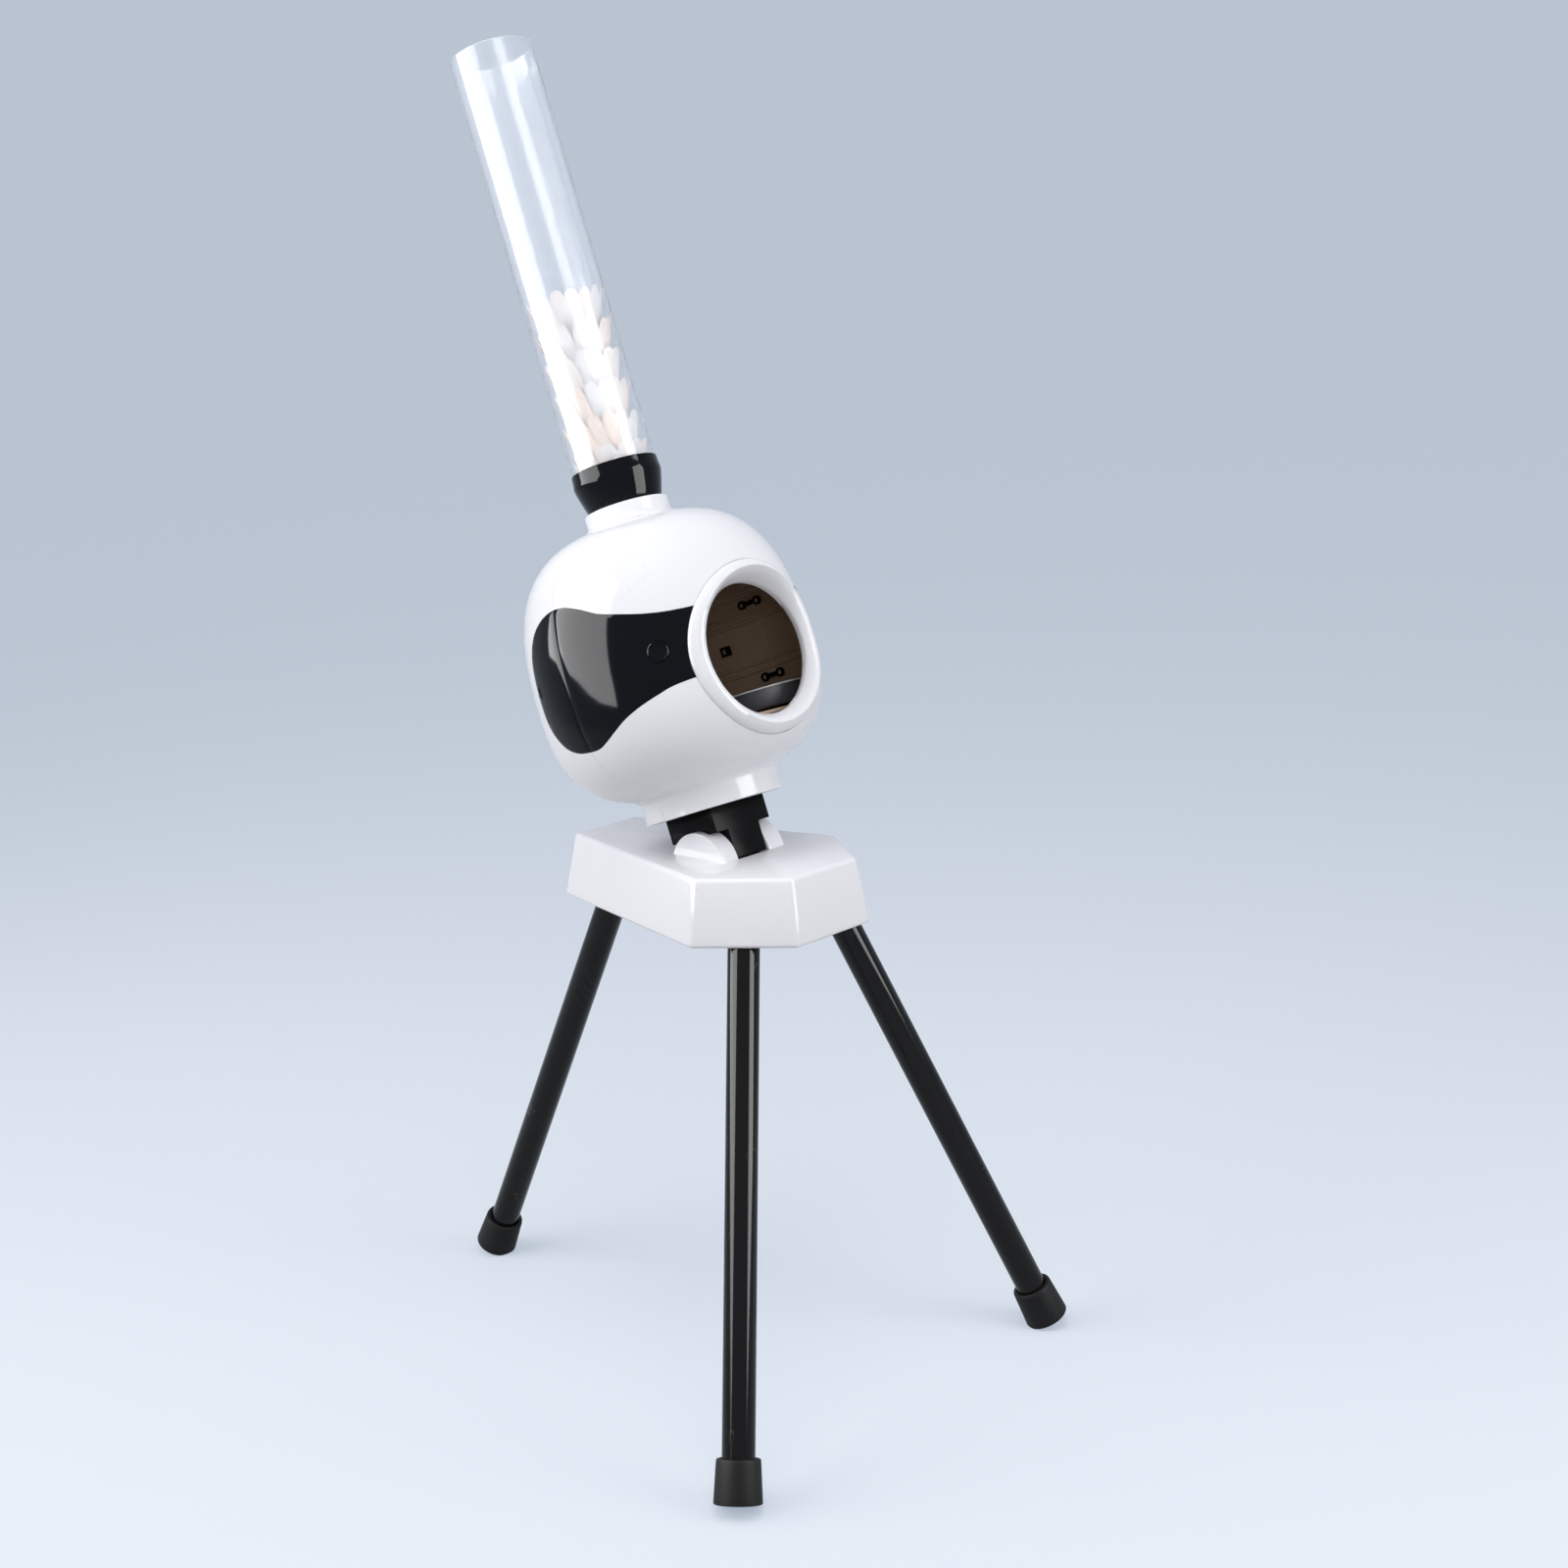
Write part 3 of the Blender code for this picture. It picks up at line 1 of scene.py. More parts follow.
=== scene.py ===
# %% [markdown]
# # A shuttlecock machine
#
# The machine drops shuttlecocks from a clear tube between two flywheels, which throw them out of a
# round port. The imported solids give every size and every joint. This script dresses them: it models
# the surfaces that are seen, in fine steps and with soft edges, and gives each one a finish made of
# nodes.

# %% Load the frame
import math
import random

import bpy
from mathutils import Matrix, Vector
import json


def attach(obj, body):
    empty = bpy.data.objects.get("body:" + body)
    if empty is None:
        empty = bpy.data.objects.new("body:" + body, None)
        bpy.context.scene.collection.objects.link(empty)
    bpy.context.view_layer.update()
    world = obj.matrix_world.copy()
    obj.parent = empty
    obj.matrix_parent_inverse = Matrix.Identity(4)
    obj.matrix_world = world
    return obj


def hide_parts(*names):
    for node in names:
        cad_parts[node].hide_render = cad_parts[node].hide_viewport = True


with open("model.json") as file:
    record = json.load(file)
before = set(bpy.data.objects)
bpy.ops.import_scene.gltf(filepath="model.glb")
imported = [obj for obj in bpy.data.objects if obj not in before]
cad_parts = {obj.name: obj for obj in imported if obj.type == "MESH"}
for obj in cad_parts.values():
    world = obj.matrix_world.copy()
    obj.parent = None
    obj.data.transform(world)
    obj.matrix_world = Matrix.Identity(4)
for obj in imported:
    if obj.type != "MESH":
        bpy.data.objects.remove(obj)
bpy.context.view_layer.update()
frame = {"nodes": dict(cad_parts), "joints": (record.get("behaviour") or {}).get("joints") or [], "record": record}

# %% [markdown]
# The head leans back on its hinge. It is easier to model a head that stands upright, round its own
# middle, and to lean the finished piece back with one matrix. The stand is modelled round a point
# just behind the hinge.

# %% Places that the joints give
joints = {joint["name"]: joint for joint in frame["joints"]}
hinge = Vector(joints["head_tilt"]["pos_m"])
up = Vector(joints["tube_lift"]["axis"])
lean = math.atan2(up.y, up.z)
HEAD_LIFT = 0.1671
HEAD_AHEAD = 0.0018
HINGE_AHEAD = 0.0064
BRACKET = Matrix.Translation(hinge) @ Matrix.Rotation(-lean, 4, "X")
HEAD = BRACKET @ Matrix.Translation((0, -HEAD_AHEAD, HEAD_LIFT))
STAND = Matrix.Translation((0, hinge.y + HINGE_AHEAD, 0))
GAP = 0.0003
print("the head leans back", round(math.degrees(lean), 1), "degrees")

# %% [markdown]
# ## Helpers
#
# Each helper does what one does by hand: pick an object, go into edit mode, use an operator, come
# back. An operator acts on everything that is selected, so each helper starts by deselecting.

# %% Selecting and editing
SAME_POINT = 0.000005


def pick(*objects):
    bpy.ops.object.select_all(action="DESELECT")
    for obj in objects:
        obj.select_set(True)
    bpy.context.view_layer.objects.active = objects[0]


def start_edit(obj):
    pick(obj)
    bpy.ops.object.mode_set(mode="EDIT")
    bpy.ops.mesh.select_mode(type="VERT")
    bpy.ops.mesh.select_all(action="SELECT")


def end_edit():
    bpy.ops.object.mode_set(mode="OBJECT")


def name_new(name):
    obj = bpy.context.object
    obj.name = obj.data.name = name
    return obj


def turn_faces_out(obj):
    start_edit(obj)
    bpy.ops.mesh.remove_doubles(threshold=SAME_POINT)
    bpy.ops.mesh.normals_make_consistent(inside=False)
    end_edit()
    return obj


# %% [markdown]
# A finished piece lies in its place by its mesh, and its object stays at the origin. A modifier is
# applied at once, so that the next step works on what is seen. Edges are softened in two ways: a
# bevel gives them a real round, and smooth shading hides the facets of faces that meet at a small
# angle. A hole could be drawn into the faces round it, but cutting it with a second solid is surer.

# %% Placing, softening and carving
def settle(obj, place):
    """Moves a piece to its place and puts the place into its mesh."""
    obj.matrix_world = place @ obj.matrix_world
    pick(obj)
    bpy.ops.object.transform_apply(location=True, rotation=True, scale=True)
    return obj


def soften(obj, angle=35):
    pick(obj)
    bpy.ops.object.shade_smooth_by_angle(angle=math.radians(angle))
    return obj


def apply_modifier(obj, kind, **settings):
    pick(obj)
    modifier = obj.modifiers.new(kind.lower(), kind)
    for key, value in settings.items():
        setattr(modifier, key, value)
    bpy.ops.object.modifier_apply(modifier=modifier.name)
    return obj


def bevel(obj, width, segments, angle):
    """Rounds the edges whose faces meet at more than the angle."""
    return apply_modifier(obj, "BEVEL", width=width, segments=segments, limit_method="ANGLE",
                          angle_limit=math.radians(angle), use_clamp_overlap=True,
                          harden_normals=False)


def carve(obj, tool, operation="DIFFERENCE"):
    """Cuts the tool out of the object, or joins or crosses them, and deletes the tool."""
    apply_modifier(obj, "BOOLEAN", operation=operation, solver="EXACT", object=tool)
    bpy.data.objects.remove(tool)
    return obj


# %% [markdown]
# Most of this machine is round. A round piece starts as a line of points, drawn one extrusion after
# another, and the spin operator turns the line about the axis. A cylinder could be pulled into
# shape instead, but then its rings would have to be found and scaled one by one.

# %% Lines and turned pieces
ON_AXIS = 0.00001


def draw_line(name, points, close):
    """An object whose mesh is a line through the points."""
    bpy.ops.object.select_all(action="DESELECT")
    bpy.ops.mesh.primitive_plane_add(size=0.001, location=(0, 0, 0))
    obj = name_new(name)
    start_edit(obj)
    bpy.ops.mesh.merge(type="CENTER")
    bpy.ops.transform.translate(value=points[0])
    route = [*points, points[0]] if close else points
    for start, end in zip(route, route[1:]):
        step = Vector(end) - Vector(start)
        bpy.ops.mesh.extrude_vertices_move(TRANSFORM_OT_translate={"value": step})
    bpy.ops.mesh.select_all(action="SELECT")
    bpy.ops.mesh.remove_doubles(threshold=SAME_POINT)
    return obj


def turned(name, outline, steps=96, smooth=35):
    """Turns an outline of (radius, height) about Z. One that is off the axis closes on itself."""
    close = min(radius for radius, height in outline) > ON_AXIS
    obj = draw_line(name, [Vector((radius, 0, height)) for radius, height in outline], close)
    bpy.ops.mesh.spin(steps=steps, angle=2 * math.pi, center=(0, 0, 0), axis=(0, 0, 1))
    end_edit()
    turn_faces_out(obj)
    return soften(obj, smooth)


# %% [markdown]
# The cutting tools, and the few pieces that aren't round, are blocks, bars and flat outlines that
# are pulled straight. A block is a cube between two corners, and a bar is a cylinder between two
# points, so that both are placed by what they touch and not by their middle.

# %% Blocks, bars and flat pieces
def block(name, low, high):
    """A box between two corners."""
    low, high = Vector(low), Vector(high)
    bpy.ops.object.select_all(action="DESELECT")
    bpy.ops.mesh.primitive_cube_add(size=1, location=(low + high) / 2)
    obj = name_new(name)
    obj.scale = high - low
    pick(obj)
    bpy.ops.object.transform_apply(location=True, rotation=True, scale=True)
    return obj


def bar(name, radius, start, end, sides=64):
    """A round bar from one point to another."""
    start, end = Vector(start), Vector(end)
    bpy.ops.object.select_all(action="DESELECT")
    bpy.ops.mesh.primitive_cylinder_add(vertices=sides, radius=radius, depth=(end - start).length)
    obj = name_new(name)
    turn = Vector((0, 0, 1)).rotation_difference(end - start).to_matrix().to_4x4()
    return settle(obj, Matrix.Translation((start + end) / 2) @ turn)


def flat_piece(name, outline, axis, low, high):
    """An outline on the two other axes, filled and extruded along one axis."""
    points = []
    for a, b in outline:
        point = [a, b]
        point.insert(axis, low)
        points.append(Vector(point))
    obj = draw_line(name, points, True)
    bpy.ops.mesh.edge_face_add()
    step = [0.0, 0.0, 0.0]
    step[axis] = high - low
    bpy.ops.mesh.extrude_region_move(TRANSFORM_OT_translate={"value": step})
    bpy.ops.mesh.select_all(action="SELECT")
    bpy.ops.mesh.normals_make_consistent(inside=False)
    end_edit()
    return obj


# %% [markdown]
# Every modelled piece stands for one solid: it rides on the same body, gets its own finish and hides
# the solid. Some solids already have the right shape and are hardly seen. Each of them is copied, its
# loose triangles are merged, and the copy gets smooth shading and its finish.

# %% Dressing a solid
record = frame["record"]
bodies = record["behaviour"]["bodies"]
body_of = {node: body for body, nodes in bodies.items() for node in nodes}
LOOSE_POINT, FLAT_ANGLE = 0.00001, 1


def dress(piece, material, *nodes):
    """Gives a piece its material, puts it on its solid's body, and hides that solid."""
    if material:
        piece.data.materials.clear()
        piece.data.materials.append(material)
    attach(piece, body_of[nodes[0]])
    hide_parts(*nodes)
    faces = len(piece.data.polygons)
    print(piece.name, "has", faces, "faces and stands for", ", ".join(nodes))
    return piece


def copy_of(node, material, edge=0.0):
    solid = frame["nodes"][node]
    mesh = solid.data.copy()
    piece = bpy.data.objects.new("fine_" + node, mesh)
    bpy.context.scene.collection.objects.link(piece)
    start_edit(piece)
    bpy.ops.mesh.remove_doubles(threshold=LOOSE_POINT)
    bpy.ops.mesh.dissolve_limited(angle_limit=math.radians(FLAT_ANGLE))
    end_edit()
    if edge:
        bevel(piece, edge, 2, 35)
    soften(piece)
    return dress(piece, material, node)


# %% [markdown]
# ## Finishes
#
# Moulded plastic is never perfectly even. It has a fine grain and cloudy places from the mould, and
# hairline scratches from use. One node group makes these three from the object's own coordinates,
# and each finish takes what it needs from it. A photographed texture could do it too, but it would
# have to be laid over every piece.

# %% Helpers for nodes
def new_group(name, inputs, outputs):
    tree = bpy.data.node_groups.new(name, "ShaderNodeTree")
    for label, value in inputs.items():
        socket = tree.interface.new_socket(name=label, in_out="INPUT",
                                           socket_type="NodeSocketFloat")
        socket.default_value = value
    for label, kind in outputs.items():
        tree.interface.new_socket(name=label, in_out="OUTPUT", socket_type=kind)
    return tree, tree.nodes.new("NodeGroupInput"), tree.nodes.new("NodeGroupOutput")


def node(tree, kind, **settings):
    made = tree.nodes.new("ShaderNode" + kind)
    for key, value in settings.items():
        if key in made.inputs.keys():
            made.inputs[key].default_value = value
        else:
            setattr(made, key, value)
    return made


def math_node(tree, operation, a, b=None, clamp=False):
    made = tree.nodes.new("ShaderNodeMath")
    made.operation = operation
    made.use_clamp = clamp
    for socket, value in zip(made.inputs, (a, b)):
        if value is None:
            continue
        if isinstance(value, (int, float)):
            socket.default_value = value
        else:
            tree.links.new(value, socket)
    return made.outputs[0]


# %% The group that marks a surface
marks, marks_in, marks_out = new_group(
    "surface_marks",
    {"Grain Scale": 900.0, "Cloud Scale": 9.0, "Scratch Scale": 7.0, "Scratch Amount": 0.3},
    {"Grain": "NodeSocketFloat", "Cloud": "NodeSocketFloat", "Scratch": "NodeSocketFloat"},
)
place_on = node(marks, "TexCoord")
grain = node(marks, "TexNoise", Detail=2.0)
marks.links.new(place_on.outputs["Object"], grain.inputs["Vector"])
marks.links.new(marks_in.outputs["Grain Scale"], grain.inputs["Scale"])
marks.links.new(grain.outputs["Fac"], marks_out.inputs["Grain"])
cloud = node(marks, "TexNoise", Detail=4.0, Roughness=0.6)
marks.links.new(place_on.outputs["Object"], cloud.inputs["Vector"])
marks.links.new(marks_in.outputs["Cloud Scale"], cloud.inputs["Scale"])
marks.links.new(cloud.outputs["Fac"], marks_out.inputs["Cloud"])
print("surface_marks makes a grain and a cloud with", len(marks.nodes), "nodes")

# %% [markdown]
# A hairline scratch is a thin, nearly straight line. A noise that is stretched fourteen to one
# gives streaks, and only the narrow band round its middle value is kept, so that each streak
# becomes a line. A second noise hides most of the lines, so that the rest end somewhere.

# %% Scratches
SCRATCH_STRETCH, SCRATCH_SHARPNESS, SCRATCH_MIDDLE = (1.0, 14.0, 1.0), 160.0, 0.5
SCRATCH_TURNS = ((0.5, 0.3, 0.9), (-0.7, 0.2, -0.4))
PATCH_SCALE, PATCH_LEVEL = 16.0, 0.62
scratch_lines = []
for turn in SCRATCH_TURNS:
    spread = node(marks, "Mapping", Rotation=turn, Scale=SCRATCH_STRETCH)
    marks.links.new(place_on.outputs["Object"], spread.inputs["Vector"])
    streak = node(marks, "TexNoise", Detail=1.0)
    marks.links.new(spread.outputs["Vector"], streak.inputs["Vector"])
    marks.links.new(marks_in.outputs["Scratch Scale"], streak.inputs["Scale"])
    from_middle = math_node(marks, "SUBTRACT", streak.outputs["Fac"], SCRATCH_MIDDLE)
    away = math_node(marks, "ABSOLUTE", from_middle)
    beside = math_node(marks, "MULTIPLY", away, SCRATCH_SHARPNESS, clamp=True)
    scratch_lines.append(math_node(marks, "SUBTRACT", 1.0, beside))
patches = node(marks, "TexNoise", Scale=PATCH_SCALE, Detail=1.0)
marks.links.new(place_on.outputs["Object"], patches.inputs["Vector"])
seen = math_node(marks, "GREATER_THAN", patches.outputs["Fac"], PATCH_LEVEL)
both = math_node(marks, "MAXIMUM", *scratch_lines)
kept = math_node(marks, "MULTIPLY", both, seen)
shown = math_node(marks, "MULTIPLY", kept, marks_in.outputs["Scratch Amount"])
marks.links.new(shown, marks_out.inputs["Scratch"])
print("surface_marks has", len(marks.nodes), "nodes")

# %% [markdown]
# Dust settles on what faces up. A second group finds that with the surface's normal and breaks it
# up with a noise. Without the noise it would look like a coat of paint.

# %% The group that dusts a surface
dust, dust_in, dust_out = new_group("settled_dust", {"Amount": 0.2, "Scale": 60.0},
                                    {"Dust": "NodeSocketFloat"})
facing = node(dust, "NewGeometry")
split = node(dust, "SeparateXYZ")
dust.links.new(facing.outputs["Normal"], split.inputs[0])
dust_spot = node(dust, "TexCoord")
specks = node(dust, "TexNoise", Detail=6.0, Roughness=0.7)
dust.links.new(dust_spot.outputs["Object"], specks.inputs["Vector"])
dust.links.new(dust_in.outputs["Scale"], specks.inputs["Scale"])
upward = math_node(dust, "MULTIPLY", split.outputs["Z"], 1.0, clamp=True)
broken = math_node(dust, "MULTIPLY", upward, specks.outputs["Fac"])
settled = math_node(dust, "MULTIPLY", broken, dust_in.outputs["Amount"])
dust.links.new(settled, dust_out.inputs["Dust"])
print("settled_dust has", len(dust.nodes), "nodes")

# %% [markdown]
# Every finish is one Principled shader. What is the same all over, such as how strongly it mirrors,
# is set on the shader. What changes over the surface comes from the two groups: the colour drifts
# between two, a scratch is duller and paler or darker than what it runs through, and dust is dull.

# %% How a finish is made
MIX_FACTOR, MIX_FIRST, MIX_SECOND, MIX_RESULT = 0, 6, 7, 2
SCRATCH_ROUGHNESS, SCRATCH_SHADE, BUMP_DEPTH = 0.4, 0.6, 0.0005


def mix_colors(tree, factor, first, second):
    """Mixes two colours. The Mix node has sockets of one name, so they are picked by number."""
    made = tree.nodes.new("ShaderNodeMix")
    made.data_type = "RGBA"
    for number, value in ((MIX_FACTOR, factor), (MIX_FIRST, first), (MIX_SECOND, second)):
        socket = made.inputs[number]
        if isinstance(value, (int, float)):
            socket.default_value = value
        elif isinstance(value, tuple):
            socket.default_value = (*value, 1)
        else:
            tree.links.new(value, socket)
    return made.outputs[MIX_RESULT]


def finish(name, color, second, rough, rough_spread=0.05, grain_height=0.02, cloud_scale=9.0,
           grain_scale=900.0, scratch=0.2, scratch_color=None, dusty=0.1,
           dust_color=(0.55, 0.53, 0.5), shader_values=None):
    """A finish whose colour drifts between two, with grain, scratches and dust."""
    material = bpy.data.materials.new(name)
    material.use_nodes = True
    tree = material.node_tree
    shader = tree.nodes["Principled BSDF"]
    skin = tree.nodes.new("ShaderNodeGroup")
    skin.node_tree = marks
    skin.inputs["Grain Scale"].default_value = grain_scale
    skin.inputs["Cloud Scale"].default_value = cloud_scale
    skin.inputs["Scratch Amount"].default_value = scratch
    fall = tree.nodes.new("ShaderNodeGroup")
    fall.node_tree = dust
    fall.inputs["Amount"].default_value = dusty
    base = mix_colors(tree, skin.outputs["Cloud"], color, second)
    bared = scratch_color or tuple(c * SCRATCH_SHADE for c in color)
    scratched = mix_colors(tree, skin.outputs["Scratch"], base, bared)
    dusted = mix_colors(tree, fall.outputs["Dust"], scratched, dust_color)
    tree.links.new(dusted, shader.inputs["Base Color"])
    drift = math_node(tree, "MULTIPLY", skin.outputs["Cloud"], rough_spread)
    roughness = math_node(tree, "ADD", drift, rough - rough_spread / 2)
    rubbed_up = math_node(tree, "MULTIPLY", skin.outputs["Scratch"], SCRATCH_ROUGHNESS)
    roughness = math_node(tree, "ADD", roughness, rubbed_up)
    roughness = math_node(tree, "ADD", roughness, fall.outputs["Dust"], clamp=True)
    tree.links.new(roughness, shader.inputs["Roughness"])
    height = math_node(tree, "SUBTRACT", skin.outputs["Grain"], skin.outputs["Scratch"])
    bump = node(tree, "Bump", Strength=grain_height, Distance=BUMP_DEPTH)
    tree.links.new(height, bump.inputs["Height"])
    tree.links.new(bump.outputs["Normal"], shader.inputs["Normal"])
    for key, value in (shader_values or {}).items():
        shader.inputs[key].default_value = value
    print("made the finish", name)
    return material


# %% [markdown]
# The shell is smooth white plastic, and the visor and collar are a black one that mirrors the room.
# The bracket is duller, the legs are painted, and the feet are rubber. Blacks are kept very dark
# and mirror little, because a strong lamp turns any other black grey.

# %% Outer finishes
white = finish("white_moulded_plastic", (0.86, 0.86, 0.885), (0.82, 0.82, 0.86), 0.09,
               rough_spread=0.04, grain_height=0.015, scratch=0.25,
               scratch_color=(0.66, 0.66, 0.71), dusty=0.02,
               shader_values={"Specular IOR Level": 0.2})
black_gloss = finish("black_gloss_plastic", (0.0020, 0.0020, 0.0024), (0.004, 0.005, 0.008), 0.07,
                     rough_spread=0.04, grain_height=0.010, scratch=0.05,
                     scratch_color=(0.08, 0.08, 0.09), dusty=0.002,
                     shader_values={"Specular IOR Level": 0.13})
black_satin = finish("black_satin_plastic", (0.003, 0.003, 0.003), (0.009, 0.009, 0.010), 0.24,
                     rough_spread=0.16, grain_height=0.08, grain_scale=1400.0, cloud_scale=30.0,
                     scratch=0.5, scratch_color=(0.10, 0.10, 0.10), dusty=0.008,
                     shader_values={"Specular IOR Level": 0.04})
leg_paint = finish("black_tube_paint", (0.005, 0.005, 0.005), (0.009, 0.008, 0.008), 0.10,
                   rough_spread=0.05, grain_height=0.02, scratch=0.4,
                   scratch_color=(0.10, 0.10, 0.10), dusty=0.006,
                   shader_values={"Specular IOR Level": 0.16})
rubber = finish("black_foot_rubber", (0.006, 0.006, 0.006), (0.012, 0.012, 0.012), 0.55,
                rough_spread=0.2, grain_height=0.25, grain_scale=1100.0, cloud_scale=40.0,
                scratch=0.3, scratch_color=(0.04, 0.04, 0.04), dusty=0.015,
                shader_values={"Specular IOR Level": 0.12})

# %% [markdown]
# Inside, the wall is painted a dull brown, which is painted shade: it stands for the shade and warm
# light in the hollow head. The wheels have dark rubber tyres, and a pale band on each tyre's top edge
# is a painted highlight. The other pieces hardly show, so a plain steel, board green and battery blue
# are enough for them.

# %% Inner finishes
wheel_rubber = finish("dark_tyre_rubber", (0.028, 0.029, 0.032), (0.050, 0.051, 0.056), 0.45,
                      rough_spread=0.2, grain_height=0.25, grain_scale=1600.0, cloud_scale=40.0,
                      scratch=0.4, dusty=0.05)
# Painted highlight: a pale grey for the light along the tyre's top edge.
rim_highlight_paint = finish("painted_tyre_rim_highlight", (0.62, 0.62, 0.62), (0.48, 0.48, 0.48), 0.4, rough_spread=0.2,
                  dusty=0.05)
# Painted shade: this brown stands for the shade and warm light inside the head, on the inner wall and on what sits
# in it.
inner_shade_brown = finish("painted_inner_shade", (0.50, 0.365, 0.265), (0.42, 0.300, 0.210), 0.40,
               rough_spread=0.2, grain_height=0.15, scratch=0.3, scratch_color=(0.60, 0.47, 0.36),
               dusty=0.05, dust_color=(0.50, 0.42, 0.34))
steel = finish("turned_steel", (0.58, 0.58, 0.60), (0.48, 0.48, 0.50), 0.30, rough_spread=0.2,
               grain_height=0.1, scratch=0.5, scratch_color=(0.75, 0.75, 0.76), dusty=0.05,
               shader_values={"Metallic": 1.0})
board_green = finish("board_green", (0.02, 0.12, 0.05), (0.03, 0.16, 0.07), 0.4, scratch=0.1,
                     dusty=0.1)
wrap_blue = finish("battery_wrap_blue", (0.03, 0.10, 0.35), (0.02, 0.08, 0.28), 0.3, scratch=0.2,
                   dusty=0.05)

# %% [markdown]
# The magazine tube is clear acrylic. It is modelled with a real wall, and its shader lets light
# through with the index of acrylic. A small share of it is milky, as used acrylic is. A coat that
# is rougher than the wall gives it the soft edges of its bright streaks, and the wall itself stays
# clear enough to see through. Only its roughness varies, where hands and shuttlecocks have rubbed
# it.

# %% Clear plastic
HAZE, HAZE_SPREAD, SCRATCH_HAZE = 0.05, 0.04, 0.2
clear = bpy.data.materials.new("clear_acrylic")
clear.use_nodes = True
clear_tree = clear.node_tree
acrylic = clear_tree.nodes["Principled BSDF"]
acrylic.inputs["Base Color"].default_value = (0.97, 0.98, 1.0, 1)
acrylic.inputs["Transmission Weight"].default_value = 0.94
acrylic.inputs["IOR"].default_value = 1.49
acrylic.inputs["Specular Tint"].default_value = (0.12, 0.12, 0.12, 1)
acrylic.inputs["Coat Weight"].default_value = 0.4
acrylic.inputs["Coat Roughness"].default_value = 0.25
rubbed = clear_tree.nodes.new("ShaderNodeGroup")
rubbed.node_tree = marks
rubbed.inputs["Cloud Scale"].default_value = 14.0
rubbed.inputs["Scratch Amount"].default_value = 0.4
cloudy = math_node(clear_tree, "MULTIPLY", rubbed.outputs["Cloud"], HAZE_SPREAD)
haze = math_node(clear_tree, "ADD", cloudy, HAZE)
scratchy = math_node(clear_tree, "MULTIPLY", rubbed.outputs["Scratch"], SCRATCH_HAZE)
haze = math_node(clear_tree, "ADD", haze, scratchy)
clear_tree.links.new(haze, acrylic.inputs["Roughness"])
cut_edge = finish("sawn_acrylic_edge", (0.80, 0.84, 0.90), (0.70, 0.75, 0.82), 0.5,
                  rough_spread=0.2, scratch=0.3)

# %% [markdown]
# ## The head
#
# The head is a barrel that swells in the middle. Its side is a superellipse, taller above the
# middle than below, which gives the full shoulders of the real one. The profile is drawn once and
# turned. A sphere scaled by hand would be too pointed at the top.

# %% The barrel's side
HEAD_RADIUS, HEAD_UP, HEAD_DOWN, WALL = 0.125, 0.142, 0.1015, 0.003
UP_POWER, OUT_POWER = 2.6, 3.2
SKIRT_RADIUS, SKIRT_BOTTOM, SKIRT_FILLET = 0.0617, 0.119, 0.0055


def barrel_point(angle, inset=0.0):
    """(radius, height) on the side, from -90 degrees at the bottom to 90 at the top."""
    a = math.radians(angle)
    reach = (HEAD_UP if angle > 0 else HEAD_DOWN) - inset
    radius = (HEAD_RADIUS - inset) * math.cos(a) ** (2 / OUT_POWER)
    return radius, math.copysign(reach * abs(math.sin(a)) ** (2 / UP_POWER), angle)


def barrel_radius(height, inset=0.0):
    """How far the side is from the axis at a height."""
    reach = (HEAD_UP if height > 0 else HEAD_DOWN) - inset
    return (HEAD_RADIUS - inset) * (1 - abs(height / reach) ** UP_POWER) ** (1 / OUT_POWER)


def angle_of(radius, inset=0.0):
    """The angle at which the side has a radius."""
    return math.degrees(math.acos((radius / (HEAD_RADIUS - inset)) ** (OUT_POWER / 2)))


def side_line(first, last, count, inset=0.0):
    """Points on the side between two angles."""
    return [barrel_point(first + (last - first) * i / count, inset) for i in range(count + 1)]


def arc(center, radius, first, last, count):
    """Points on a circle between two angles."""
    turns = [math.radians(first + (last - first) * i / count) for i in range(count + 1)]
    return [(center[0] + radius * math.cos(t), center[1] + radius * math.sin(t)) for t in turns]


print("the barrel is", round(2000 * barrel_radius(0.05)), "mm wide 50 mm above its middle")

# %% [markdown]
# The wall is 3 mm thick and turns inwards at the neck. Below, it runs through a small fillet into
# the round skirt that stands on the bracket. Inside, pairs of low ribs run round it. They could be
# rings of their own, but in the outline they come with the turn.

# %% The shell's outline
NECK_BORE, SLEEVE_WALL = 0.0330, 0.002
neck_hole = NECK_BORE + SLEEVE_WALL + GAP
fillet_out = SKIRT_RADIUS + SKIRT_FILLET
fillet_top = barrel_point(-angle_of(fillet_out - 0.001))[1]
STEPS_UP, STEPS_DOWN, WALL_STEPS_UP, WALL_STEPS_DOWN = 26, 22, 24, 20
outer = side_line(angle_of(neck_hole), 0, STEPS_UP)
outer += side_line(0, -angle_of(fillet_out), STEPS_DOWN)[1:]
for past_skirt, below_fillet in ((0.0033, 0.0010), (0.0016, 0.0024), (0.0005, 0.0040)):
    outer.append((SKIRT_RADIUS + past_skirt, fillet_top - below_fillet))
outer += [(SKIRT_RADIUS, fillet_top - SKIRT_FILLET)]
outer += [(SKIRT_RADIUS + 0.0008, 0.0008 - SKIRT_BOTTOM), (SKIRT_RADIUS + 0.0003, -SKIRT_BOTTOM)]
inner_radius = SKIRT_RADIUS - WALL
inner = [(inner_radius, -SKIRT_BOTTOM), (inner_radius, fillet_top - 0.002)]
wall_line = side_line(-angle_of(inner_radius + 0.0035, WALL), 0, WALL_STEPS_DOWN, WALL)
wall_line += side_line(0, angle_of(neck_hole, WALL), WALL_STEPS_UP, WALL)[1:]
RIB_HEIGHTS = (-0.033, -0.025, -0.009, -0.002, 0.037, 0.044, 0.060, 0.067)
RIB, RIB_WIDTH, RIB_TOP = 0.0015, 0.0018, 0.6
